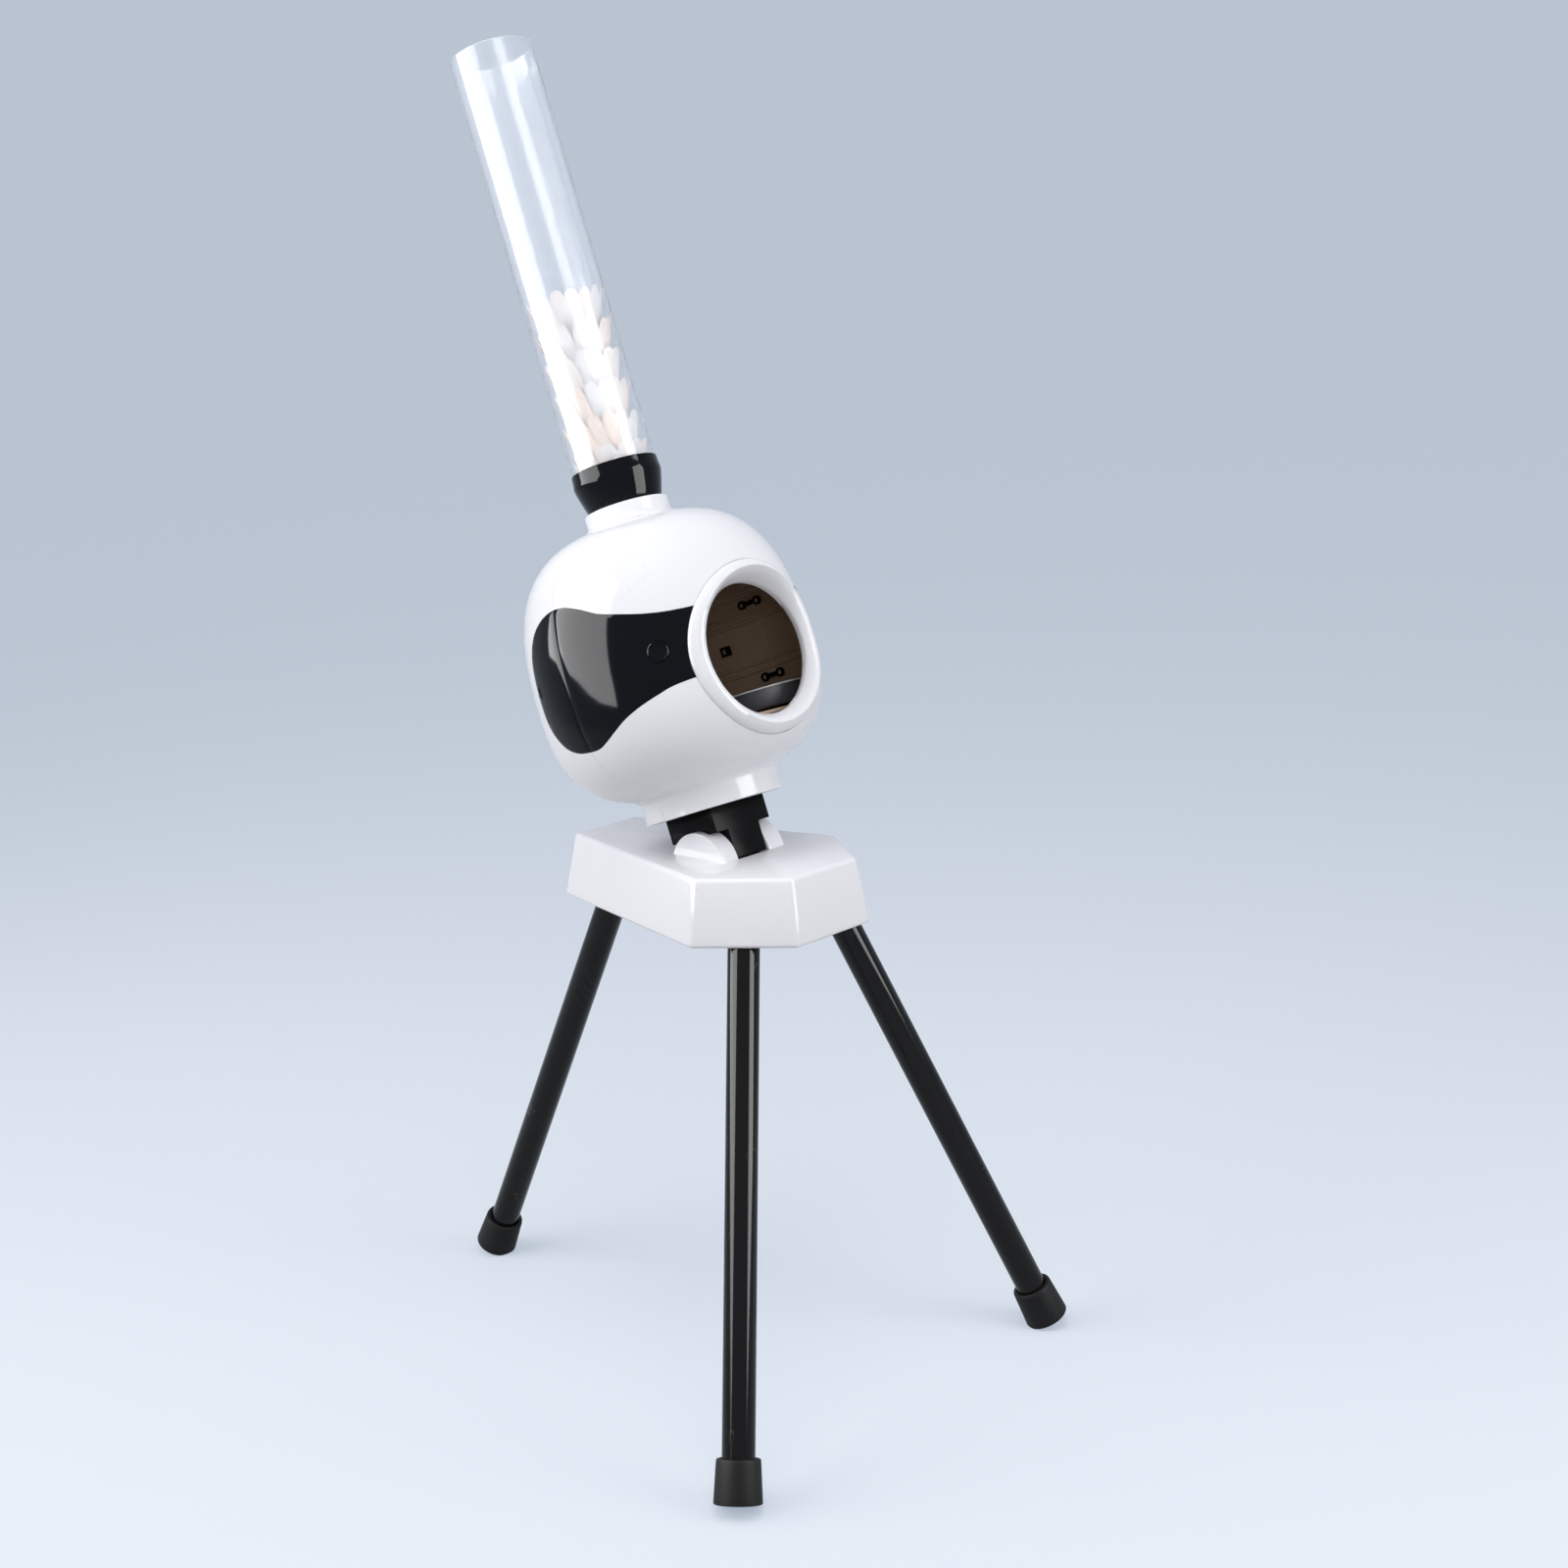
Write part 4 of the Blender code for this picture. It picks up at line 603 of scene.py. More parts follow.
for rib in RIB_HEIGHTS:
    wall_line = [point for point in wall_line if abs(point[1] - rib) > RIB_WIDTH]
    for offset, stand_out in ((-1, 0), (-RIB_TOP, RIB), (RIB_TOP, RIB), (1, 0)):
        height = rib + offset * RIB_WIDTH
        wall_line.append((barrel_radius(height, WALL) - stand_out, height))
inner += sorted(wall_line, key=lambda point: point[1])
shell_outline = outer + inner
print("the shell's outline has", len(shell_outline), "points")

# %% [markdown]
# The visor is a dark wavy panel let into each side. Its edge was measured in the photograph, and
# each point of it says how far ahead of the head's middle it lies, and how high. A curve through a
# few points is enough, and the same edge, a little larger, cuts the recess for it. The panel is
# then a thin layer of the barrel, and only what lies inside the edge is kept, so that it follows
# the barrel everywhere.

# %% The visor's edge
VISOR_THICKNESS = 0.0014
VISOR_OUTLINE = (
    (0.120, 0.0440), (0.098, 0.0460), (0.082, 0.0495), (0.064, 0.0555), (0.046, 0.0620),
    (0.031, 0.0700), (0.012, 0.0772), (-0.005, 0.0778), (-0.022, 0.0730), (-0.038, 0.0620),
    (-0.048, 0.0450), (-0.0523, 0.0207), (-0.0510, -0.0040), (-0.0440, -0.0210),
    (-0.0310, -0.0360), (-0.0150, -0.0435), (0.007, -0.0458), (0.020, -0.0422), (0.033, -0.0357),
    (0.046, -0.0287), (0.061, -0.0225), (0.076, -0.0175), (0.090, -0.0135), (0.120, -0.0110),
)


def smooth_line(points, per_span):
    """A smooth curve that goes through every point."""
    spread = [points[0], *points, points[-1]]
    line = []
    for p0, p1, p2, p3 in zip(spread, spread[1:], spread[2:], spread[3:]):
        for step in range(per_span):
            t = step / per_span
            line.append(tuple(
                0.5 * (2 * b + (c - a) * t + (2 * a - 5 * b + 4 * c - d) * t**2
                       + (3 * b - a - 3 * c + d) * t**3)
                for a, b, c, d in zip(p0, p1, p2, p3)
            ))
    return line + [points[-1]]


def with_neighbours(points):
    """Each point of a closed outline between the one before it and the one after it."""
    return zip(points[-1:] + points[:-1], points, points[1:] + points[:1])


def grown(outline, distance):
    """The closed outline with each point moved outwards."""
    area = sum(a[0] * b[1] - b[0] * a[1] for a, b in zip(outline, outline[1:] + outline[:1]))
    side = math.copysign(distance, area)
    moved = []
    for before, point, after in with_neighbours(outline):
        run = (Vector(after) - Vector(before)).normalized()
        moved.append((point[0] + run.y * side, point[1] - run.x * side))
    return moved


VISOR_EDGE_STEPS, BAND_END, HEAD_STEPS = 5, 60, 128
EDGE_TOOL_FROM, EDGE_TOOL_TO = 0.02, 0.14
visor_edge = [(-ahead, height) for ahead, height in smooth_line(VISOR_OUTLINE, VISOR_EDGE_STEPS)]
print("the visor's edge has", len(visor_edge), "points")


# %% Bands and places on the barrel
def visor_band(name, side, depth, out, grow):
    """The head's outermost layer inside the visor's edge, on one side."""
    downwards = side_line(BAND_END, 0, STEPS_UP) + side_line(0, -BAND_END, STEPS_DOWN)[1:]
    upwards = side_line(-BAND_END, 0, STEPS_DOWN) + side_line(0, BAND_END, STEPS_UP)[1:]
    band_outer = [(radius + out, height) for radius, height in downwards]
    band_inner = [(radius - depth, height) for radius, height in upwards]
    band = turned(name, band_outer + band_inner, HEAD_STEPS)
    edge = grown(visor_edge, grow) if grow else visor_edge
    low, high = sorted((side * EDGE_TOOL_FROM, side * EDGE_TOOL_TO))
    return carve(band, flat_piece("edge_tool", edge, 0, low, high), "INTERSECT")


def around(angle, distance, height):
    """A point at a distance from the head's axis, the angle counted from the port towards -X."""
    a = math.radians(angle)
    return Vector((-math.sin(a) * distance, -math.cos(a) * distance, height))


# %% [markdown]
# The shell is one turned solid, carved in two along the seam. The front half loses the round hole
# for the port, and both lose the visor's recess. The seam is a real gap, so light and shade show
# it.

# %% The two shells
RING_RADIUS = 0.075
SEAM = 0.00025
PAST_SHELL = 0.003
BEYOND_HEAD, ABOVE_HEAD = 0.3, 0.4
BUTTON_ANGLE, BUTTON_HEIGHT, BUTTON_RADIUS = 47.8, 0.0165, 0.0094


def half(name, front):
    """What is cut away to leave one half of the head."""
    low, high = (-SEAM / 2, BEYOND_HEAD) if front else (-BEYOND_HEAD, SEAM / 2)
    return block(name, (-BEYOND_HEAD, low, -BEYOND_HEAD), (BEYOND_HEAD, high, ABOVE_HEAD))


def port_tool():
    return bar("port_tool", RING_RADIUS + GAP, (0, -0.2, 0), (0, -0.06, 0), HEAD_STEPS)


def button_tool():
    return bar("button_tool", BUTTON_RADIUS + GAP, around(BUTTON_ANGLE, 0.10, BUTTON_HEIGHT),
               around(BUTTON_ANGLE, 0.14, BUTTON_HEIGHT), 64)


front_shell = turned("front_shell", shell_outline, HEAD_STEPS)
rear_shell = turned("rear_shell", shell_outline, HEAD_STEPS)
for shell, front in ((front_shell, True), (rear_shell, False)):
    carve(shell, half("half_tool", front))
    for side in (-1, 1):
        carve(shell, visor_band("recess_tool", side, VISOR_THICKNESS + GAP, PAST_SHELL, GAP))
carve(front_shell, port_tool())
carve(front_shell, button_tool())
print("front shell:", len(front_shell.data.polygons), "faces")

# %% [markdown]
# Outside, the shell is white. Inside it is painted a dull brown, which is painted shade: it stands for
# the shade and warm light in the hollow head, seen through the port. The inner faces are those below
# the outer skin that look towards the head's axis, and they get the second material. Picking them by
# hand would mean hundreds of clicks.

# %% Painted shade inside
SKIN_DEPTH, SKIRT_START, DOME_END, FLATTEN, LOOKS_IN = 0.0024, -0.09, 0.13, 0.8, -0.1


def paint_inner_shade(shell):
    shell.data.materials.append(white)
    shell.data.materials.append(inner_shade_brown)
    # Faces on the inside get the painted-shade brown.
    for face in shell.data.polygons:
        center = face.center
        outwards = Vector((center.x, center.y, center.z * FLATTEN)).normalized()
        in_skirt = center.z < SKIRT_START
        deep = in_skirt or center.xy.length < barrel_radius(min(center.z, DOME_END), SKIN_DEPTH)
        if deep and face.normal.dot(outwards) < LOOKS_IN:
            face.material_index = 1


for shell, node_name in ((front_shell, "head_front_shell"), (rear_shell, "head_rear_shell")):
    paint_inner_shade(shell)
    soften(shell, 28)
    settle(shell, HEAD)
    dress(shell, None, node_name)

# %% [markdown]
# The visor panels are the same layer without the extra room, each cut at the seam. A small bevel
# catches the light along their edges. The rear ones carry a lug that snaps into the shell, and its
# end shows through the port. It is hollow there, and the bottom of the hollow is painted the brown
# that stands for the shade inside the shell.

# %% Visor panels
LUG_SIZE, LUG_AHEAD, LUG_HEIGHT, LUG_REACH = 0.009, -0.044, 0.017, 0.007
LUG_POCKET, POCKET_HALF, LUG_ROOT = 0.0012, 0.0022, 0.0012
POCKET_NEAR, POCKET_MIDDLE, VISOR_BEVEL = 0.0003, 0.0015, 0.00035
for side, word in ((-1, "left"), (1, "right")):
    for front in (True, False):
        end = "front" if front else "rear"
        panel = visor_band(f"visor_{word}_{end}_panel", side, VISOR_THICKNESS, 0.0, 0)
        carve(panel, half("half_tool", front))
        if front:
            carve(panel, port_tool())
        else:
            lug_out = math.sqrt(barrel_radius(LUG_HEIGHT) ** 2 - LUG_AHEAD**2)
            xs = sorted((side * (lug_out - LUG_REACH), side * (lug_out - LUG_ROOT)))
            lug = block("lug", (xs[0], -LUG_AHEAD - LUG_SIZE / 2, LUG_HEIGHT - LUG_SIZE / 2),
                        (xs[1], -LUG_AHEAD + LUG_SIZE / 2, LUG_HEIGHT + LUG_SIZE / 2))
            carve(panel, lug, "UNION")
            pocket_floor = lug_out - LUG_REACH + LUG_POCKET
            xs = sorted((side * (lug_out - LUG_REACH - 0.001), side * pocket_floor))
            pocket = block("pocket", (xs[0], -LUG_AHEAD - POCKET_HALF, LUG_HEIGHT - POCKET_HALF),
                           (xs[1], -LUG_AHEAD + POCKET_HALF, LUG_HEIGHT + POCKET_HALF))
            carve(panel, pocket)
        if (word, end) == ("left", "front"):
            carve(panel, button_tool())
        turn_faces_out(panel)
        bevel(panel, VISOR_BEVEL, 2, 50)
        soften(panel, 30)
        panel.data.materials.append(black_gloss)
        panel.data.materials.append(inner_shade_brown)
        # The pocket's floor gets the painted-shade brown.
        for face in panel.data.polygons:
            on_floor = not front and abs(face.center.x * side - pocket_floor) < POCKET_NEAR
            if on_floor and abs(face.center.z - LUG_HEIGHT) < POCKET_MIDDLE:
                face.material_index = 1
        settle(panel, HEAD)
        dress(panel, None, f"visor_{word}_{end}")

# %% [markdown]
# The port's ring is a rolled bead. Its outer edge follows the barrel, which falls away at the sides
# more than above and below, while its inner edge is a flat circle. A bead is turned first. Then
# each point of it is moved forward by as much as the barrel stands ahead there.

# %% The port ring's outline
PORT_RADIUS, PORT_EDGE, CREST_RADIUS, CREST = 0.0577, 0.1043, 0.0675, 0.0045
PORT_DEPTH, BACK_LEVEL, BACK_AHEAD = 0.0038, -0.009, 0.100
ring_outline = [(RING_RADIUS, -0.012), (RING_RADIUS, -0.0004), (RING_RADIUS - 0.0003, 0.0012)]
ring_outline += [(RING_RADIUS - 0.0012, 0.0026), (0.0722, 0.0036), (CREST_RADIUS + 0.0028, 0.0043)]
ring_outline += [(CREST_RADIUS, CREST), (CREST_RADIUS - 0.0026, 0.0041)]
ring_outline += [(CREST_RADIUS - 0.0046, 0.0030), (0.0609, 0.0010), (0.0591, -0.0012)]
ring_outline += [(PORT_RADIUS + 0.0003, -0.0030), (PORT_RADIUS, -PORT_DEPTH)]
ring_outline += [(PORT_RADIUS, -0.0082), (PORT_RADIUS + 0.0005, -0.0087)]
ring_outline += [(RING_RADIUS - 0.004, -0.0100), (RING_RADIUS - 0.004, -0.012)]
print("the ring's outline has", len(ring_outline), "points")

# %% The port ring
port_ring = turned("port_bead", ring_outline, HEAD_STEPS, 50)
for vertex in port_ring.data.vertices:
    across, upward_on_ring = vertex.co.x, vertex.co.y
    distance = math.hypot(across, upward_on_ring)
    share = min(1.0, max(0.0, (distance - PORT_RADIUS) / (CREST_RADIUS - PORT_RADIUS)))
    spread = distance if distance > CREST_RADIUS else CREST_RADIUS
    level = spread * upward_on_ring / distance
    reach = math.sqrt(barrel_radius(level) ** 2 - (spread * across / distance) ** 2)
    flat = PORT_EDGE + PORT_DEPTH
    ahead = reach * share + flat * (1 - share)
    if vertex.co.z < BACK_LEVEL:
        ahead = BACK_AHEAD
    vertex.co = Vector((across, -(ahead + vertex.co.z), upward_on_ring))
turn_faces_out(port_ring)
soften(port_ring, 50)
settle(port_ring, HEAD)
dress(port_ring, white, "port_ring")

# %% [markdown]
# The button is a low round cap in the visor. A thin rim stands round its flat middle, so that a
# finger finds it. The cap is turned with its flange, which keeps it from falling out, and is then
# laid on the barrel's side.

# %% The power button
FLANGE_RADIUS, FLANGE, SWITCH_REACH = 0.0118, 0.0016, 0.014
surface = barrel_radius(BUTTON_HEIGHT)
drop = surface - math.sqrt(surface**2 - BUTTON_RADIUS**2)
switch_edge = barrel_radius(BUTTON_HEIGHT + SWITCH_REACH) - WALL
flange_top = math.sqrt(switch_edge**2 - SWITCH_REACH**2) - GAP - surface - 2 * GAP
cap_outline = [(0, -0.0006), (0.0070, -0.0006), (0.0076, -0.0005), (0.0080, 0.0001)]
cap_outline += [(0.0084, 0.0002), (0.0088, 0.0000), (0.0091, -drop * 0.9)]
cap_outline += [(BUTTON_RADIUS, -drop - 0.0006)]
cap_outline += [(BUTTON_RADIUS, flange_top), (FLANGE_RADIUS, flange_top)]
cap_outline += [(FLANGE_RADIUS, flange_top - FLANGE), (0, flange_top - FLANGE)]
button = turned("button_cap", cap_outline, 64, 40)
lay_down = Matrix.Rotation(math.radians(90), 4, "X")
turn = Matrix.Rotation(math.radians(-BUTTON_ANGLE), 4, "Z") @ lay_down
settle(button, HEAD @ Matrix.Translation(around(BUTTON_ANGLE, surface, BUTTON_HEIGHT)) @ turn)
dress(button, black_gloss, "power_button")

# %% [markdown]
# ## The magazine
#
# On top sit a white neck, a black collar and the clear tube. All three are turned from outlines.
# The neck ends in a small rolled foot on the dome, and the collar swells below its top and then
# narrows to the neck.

# %% The neck
NECK_RADIUS, NECK_TOP, NECK_FOOT_RADIUS, NECK_FOOT = 0.0378, 0.157, 0.0425, 0.0016
SLEEVE_BOTTOM, COLLAR_HEIGHT, COLLAR_SPIGOT, COLLAR_BORE = 0.104, 0.0368, 0.012, 0.0313
TUBE_RADIUS, TUBE_WALL, TUBE_LENGTH, TUBE_SEAT = 0.0375, 0.0015, 0.395, 0.015
dome = barrel_point(angle_of(NECK_FOOT_RADIUS))[1]
dome_in = barrel_point(angle_of(NECK_RADIUS))[1] + GAP
sleeve = NECK_BORE + SLEEVE_WALL
dome_hole = barrel_point(angle_of(sleeve + GAP))[1] + GAP
NECK_ROUND = 0.0018
neck_outline = [(NECK_BORE, NECK_TOP)]
neck_outline += arc((NECK_RADIUS - NECK_ROUND, NECK_TOP - NECK_ROUND), NECK_ROUND, 90, 0, 6)
neck_outline += [(NECK_RADIUS, dome_in + NECK_FOOT + 0.0036)]
neck_outline += [(NECK_RADIUS + 0.0003, dome_in + NECK_FOOT + 0.0022)]
neck_outline += [(NECK_RADIUS + 0.0012, dome_in + NECK_FOOT + 0.0009)]
neck_outline += [(NECK_RADIUS + 0.0025, dome_in + NECK_FOOT)]
neck_outline += [(NECK_FOOT_RADIUS - 0.0008, dome + NECK_FOOT)]
neck_outline += [(NECK_FOOT_RADIUS, dome + NECK_FOOT * 0.6), (NECK_FOOT_RADIUS, dome + 0.00005)]
neck_outline += [(NECK_RADIUS, dome_in), (sleeve, dome_hole)]
neck_outline += [(sleeve, SLEEVE_BOTTOM), (NECK_BORE, SLEEVE_BOTTOM)]
neck = turned("neck", neck_outline, 96, 40)
settle(neck, HEAD)
dress(neck, white, "neck_ring")

# %% The collar
collar_top = NECK_TOP + COLLAR_HEIGHT
spigot = NECK_BORE - GAP
collar_outline = [(TUBE_RADIUS + GAP, collar_top)]
for radius, below_top in ((0.0384, 0.0), (0.0388, 0.0005), (0.0390, 0.0030), (0.0394, 0.0085),
                          (0.0397, 0.0105), (0.0397, 0.0125), (0.0393, 0.0145), (0.0376, 0.0215),
                          (0.0352, 0.0300)):
    collar_outline.append((radius, collar_top - below_top))
collar_outline += [(spigot + 0.0007, NECK_TOP + 0.0014), (spigot, NECK_TOP + 0.0005)]
collar_outline += [(spigot, NECK_TOP - COLLAR_SPIGOT), (COLLAR_BORE, NECK_TOP - COLLAR_SPIGOT)]
collar_outline += [(COLLAR_BORE, collar_top - TUBE_SEAT)]
collar_outline += [(TUBE_RADIUS + GAP, collar_top - TUBE_SEAT)]
collar = turned("collar", collar_outline, 96, 24)
settle(collar, HEAD)
dress(collar, black_gloss, "tube_collar")

# %% [markdown]
# The tube has a true wall of 1.5 mm. Its ends were sawn, so they are frosted and show as a thin
# pale rim. The small chamfers stay sharp: smooth shading across them would bend the light along the
# whole tube.

# %% The clear tube
tube_foot = collar_top - TUBE_SEAT + GAP
tube_top = tube_foot + TUBE_LENGTH
tube_in = TUBE_RADIUS - TUBE_WALL
cut, END_FACE = 0.0004, 0.5
tube_outline = [(tube_in + cut, tube_top), (TUBE_RADIUS - cut, tube_top)]
tube_outline += [(TUBE_RADIUS, tube_top - cut), (TUBE_RADIUS, tube_foot + cut)]
tube_outline += [(TUBE_RADIUS - cut, tube_foot), (tube_in + cut, tube_foot)]
tube_outline += [(tube_in, tube_foot + cut), (tube_in, tube_top - cut)]
tube = turned("clear_tube", tube_outline, HEAD_STEPS, 30)
tube.data.materials.append(clear)
tube.data.materials.append(cut_edge)
for face in tube.data.polygons:
    if abs(face.normal.z) > END_FACE:
        face.material_index = 1
settle(tube, HEAD)
dress(tube, None, "magazine_tube")

# %% [markdown]
# ## Shuttlecocks
#
# A shuttlecock has a cork with a rounded nose, sixteen goose feathers set round its flat top, and
# two rows of thread that tie the quills. Feathers are matt and faintly ribbed by their barbs. The
# ribs follow the feather and not the room, so they read the feather's own UV map. Each feather has
# a tint too, stored on its points.

# %% The feather's finish
BARB_SCALE, BARB_SLANT, BARB_SHADE = 26.0, 0.6, 0.22
BEIGE, BARB_COLOR = (0.86, 0.68, 0.57), (0.62, 0.58, 0.55)


def feather_finish():
    material = finish("goose_feather", (0.84, 0.83, 0.82), (0.70, 0.68, 0.66), 0.5,
                      rough_spread=0.2, grain_height=0.1, cloud_scale=30.0, scratch=0.0, dusty=0.0,
                      shader_values={"Sheen Weight": 0.25, "Sheen Roughness": 0.4})
    tree = material.node_tree
    shader = tree.nodes["Principled BSDF"]
    layout = node(tree, "UVMap", uv_map="vane")
    slant = node(tree, "Mapping", Rotation=(0.0, 0.0, BARB_SLANT))
    tree.links.new(layout.outputs["UV"], slant.inputs["Vector"])
    barbs = node(tree, "TexWave", Scale=BARB_SCALE, Distortion=1.2, Detail=2.0)
    tree.links.new(slant.outputs["Vector"], barbs.inputs["Vector"])
    old = shader.inputs["Base Color"].links[0].from_socket
    tint = node(tree, "Attribute", attribute_name="tint")
    tinted = mix_colors(tree, tint.outputs["Fac"], old, BEIGE)
    barb_share = math_node(tree, "MULTIPLY", barbs.outputs["Fac"], BARB_SHADE)
    lined = mix_colors(tree, barb_share, tinted, BARB_COLOR)
    tree.links.new(lined, shader.inputs["Base Color"])
    bump = node(tree, "Bump", Strength=0.3, Distance=0.0004)
    tree.links.new(barbs.outputs["Fac"], bump.inputs["Height"])
    tree.links.new(bump.outputs["Normal"], shader.inputs["Normal"])
    return material


# %% Feather and cork finishes
feather_white = feather_finish()
quill_ivory = finish("quill_ivory", (0.80, 0.74, 0.62), (0.72, 0.64, 0.50), 0.35, scratch=0.0,
                     dusty=0.0)
cork_skin = finish("cork_kid_leather", (0.83, 0.82, 0.79), (0.76, 0.74, 0.70), 0.5,
                   grain_height=0.3, grain_scale=1200.0, scratch=0.2, dusty=0.05)
band_green = finish("cork_band", (0.05, 0.22, 0.16), (0.04, 0.18, 0.14), 0.35, scratch=0.2,
                    dusty=0.0)
thread_white = finish("binding_thread", (0.75, 0.74, 0.72), (0.68, 0.67, 0.64), 0.7,
                      grain_height=0.5, grain_scale=3000.0, scratch=0.0, dusty=0.0)

# %% [markdown]
# A feather's vane starts as a flat grid. Its points are moved so that it is narrow at the bottom,
# rounded at the tip and bent round the skirt, and then it gets a thickness. A flat card with a
# picture would be lighter, but its edge would show. The quill is a thin cone behind it.

# %% One feather
CORK_HEIGHT, CORK_RADIUS, SKIRT_HEIGHT = 0.025, 0.013, 0.085
TIP_RADIUS, ROOT_RADIUS, SKIRT_POWER = 0.0345, 0.0105, 0.75
VANE_BOTTOM, VANE_NARROW, VANE_WIDENS = 0.036, 0.0020, 0.0052
WIDENS_FAST, WIDENS_POWER, TIP_ROUND, TIP_POWER = 2.2, 0.7, 0.0095, 2.2
PLY, VANE_THICKNESS = 0.0004, 0.00025
QUILL_ROOT, QUILL_TIP, QUILL_BEHIND, QUILL_SUNK, QUILL_SHORT = 0.0009, 0.00035, 0.0004, 0.004, 0.002


def skirt_radius(height, tip):
    share = max(0.0, (height - CORK_HEIGHT) / (SKIRT_HEIGHT - CORK_HEIGHT))
    return ROOT_RADIUS + (tip - ROOT_RADIUS) * share**SKIRT_POWER


def feather(tip):
    """One feather at the front of the skirt, with its quill."""
    bpy.ops.object.select_all(action="DESELECT")
    bpy.ops.mesh.primitive_grid_add(x_subdivisions=6, y_subdivisions=12, size=1, calc_uvs=True)
    vane = name_new("vane")
    vane.data.uv_layers[0].name = "vane"
    for vertex in vane.data.vertices:
        u, v = vertex.co.x * 2, vertex.co.y + 0.5
        width = VANE_NARROW + VANE_WIDENS * min(1.0, v * WIDENS_FAST) ** WIDENS_POWER
        rounded = TIP_ROUND * (1 - math.sqrt(max(0.0, 1 - min(1.0, abs(u)) ** TIP_POWER)))
        height = VANE_BOTTOM + (SKIRT_HEIGHT - VANE_BOTTOM) * v - rounded * v
        radius = skirt_radius(height, tip)
        bend = u * width / radius
        out = radius + PLY * u
        vertex.co = Vector((math.sin(bend) * out, -math.cos(bend) * out, height))
    apply_modifier(vane, "SOLIDIFY", thickness=VANE_THICKNESS, offset=0.0)
    bpy.ops.mesh.primitive_cone_add(vertices=6, radius1=QUILL_ROOT, radius2=QUILL_TIP, depth=1)
    quill = name_new("quill")
    low, high = CORK_HEIGHT - QUILL_SUNK, SKIRT_HEIGHT - QUILL_SHORT
    for vertex in quill.data.vertices:
        height = low + (high - low) * (vertex.co.z + 0.5)
        radius = skirt_radius(height, tip) - QUILL_BEHIND
        vertex.co = Vector((vertex.co.x, vertex.co.y - radius, height))
    vane.data.materials.append(feather_white)
    quill.data.materials.append(quill_ivory)
    pick(vane, quill)
    bpy.ops.object.join()
    return vane


# %% [markdown]
# The feather is copied round the cork, each copy turned by about a sixteenth of a circle and tucked
# a little under the next one, as real feathers overlap. A little chance in its turn, lean and
# height keeps the tips from looking stamped, and gives each copy a tint of its own, between white
# and beige. Threads are thin rings round the quills.

# %% One shuttlecock
FEATHERS, TURN_PLAY, LEAN_PLAY, DROP_PLAY = 16, 0.2, 0.02, 0.0030
THREAD_HEIGHTS, THREAD, BAND, BAND_DROP = (0.034, 0.041), 0.0009, 0.0003, 0.0035


def ring(name, radius, height, thickness, material):
    bpy.ops.object.select_all(action="DESELECT")
    bpy.ops.mesh.primitive_torus_add(major_radius=radius, minor_radius=thickness, major_segments=48,
                                     minor_segments=6, location=(0, 0, height))
    made = name_new(name)
    made.data.materials.append(material)
    return made


def shuttlecock(name, tip, seed):
    draw = random.Random(seed)
    parts = []
    first = feather(tip)
    for i in range(FEATHERS):
        copy = first.copy()
        copy.data = first.data.copy()
        bpy.context.scene.collection.objects.link(copy)
        around_cork = 2 * math.pi * (i + draw.uniform(-TURN_PLAY, TURN_PLAY)) / FEATHERS
        copy.rotation_euler = (0, draw.uniform(-LEAN_PLAY, LEAN_PLAY), around_cork)
        copy.location = (0, 0, draw.uniform(-DROP_PLAY, 0.0))
        tint = copy.data.attributes.new("tint", "FLOAT", "POINT")
        tint.data.foreach_set("value", [draw.random() ** 2] * len(copy.data.vertices))
        parts.append(copy)
    bpy.data.objects.remove(first)
    nose = [(0, 0)] + arc((0, CORK_RADIUS), CORK_RADIUS, -82, 0, 9)
    body = [(CORK_RADIUS, 0.0175), (CORK_RADIUS - 0.0001, CORK_HEIGHT - 0.0010)]
    body += [(CORK_RADIUS - 0.0012, CORK_HEIGHT), (0.0085, CORK_HEIGHT + 0.0002)]
    body += [(0, CORK_HEIGHT + 0.0002)]
    cork = turned("cork", nose + body, 40, 40)
    cork.data.materials.append(cork_skin)
    parts.append(cork)
    parts.append(ring("band", CORK_RADIUS - 0.0002, CORK_HEIGHT - BAND_DROP, BAND, band_green))
    for height in THREAD_HEIGHTS:
        radius = skirt_radius(height, tip) - 0.0001
        parts.append(ring("thread", radius, height, THREAD, thread_white))
    pick(cork, *parts)
    bpy.ops.object.join()
    return name_new(name)


# %% [markdown]
# Seven of them are nested in the tube, each cork in the skirt below it, and each is drawn with its
# own chances. The lowest one stands in the collar, whose bore is narrower, so its skirt is
# squeezed.

# %% The stack
STACK_BOTTOM, PITCH, COUNT, SQUEEZED_TIP, STACK_TURN = 0.0965, 0.028, 7, 0.0302, 0.11
for i in range(COUNT):
    shuttle = shuttlecock(f"shuttle_{i + 1}", SQUEEZED_TIP if i == 0 else TIP_RADIUS, i)
    turn = Matrix.Rotation(STACK_TURN * i, 4, "Z")
    settle(shuttle, HEAD @ Matrix.Translation((0, 0, STACK_BOTTOM + i * PITCH)) @ turn)
    dress(shuttle, None, f"shuttlecock_{i + 1}")

# %% [markdown]
# ## The base
#
# The base is a six-sided tray with sides that lean out. It starts as a circle of six points, which
# are pulled to the corners, filled, and extruded up to the smaller top. A cube would need two more
# corners. A bevel rounds its edges, and a second, smaller form of the same kind hollows it.

# %% The housing's corners
STAND_HEIGHT, BASE_HEIGHT, BASE_DRAFT, BASE_WALL = 0.422, 0.058, 0.0100, 0.0025
BASE_TOP = STAND_HEIGHT + BASE_HEIGHT
BASE_BEVEL, HOLLOW_PAST = 0.0038, 0.02
CORNERS = ((-0.0381, 0.152), (-0.090, -0.0513), (-0.0418, -0.118),
           (0.0418, -0.118), (0.090, -0.0513), (0.0381, 0.152))


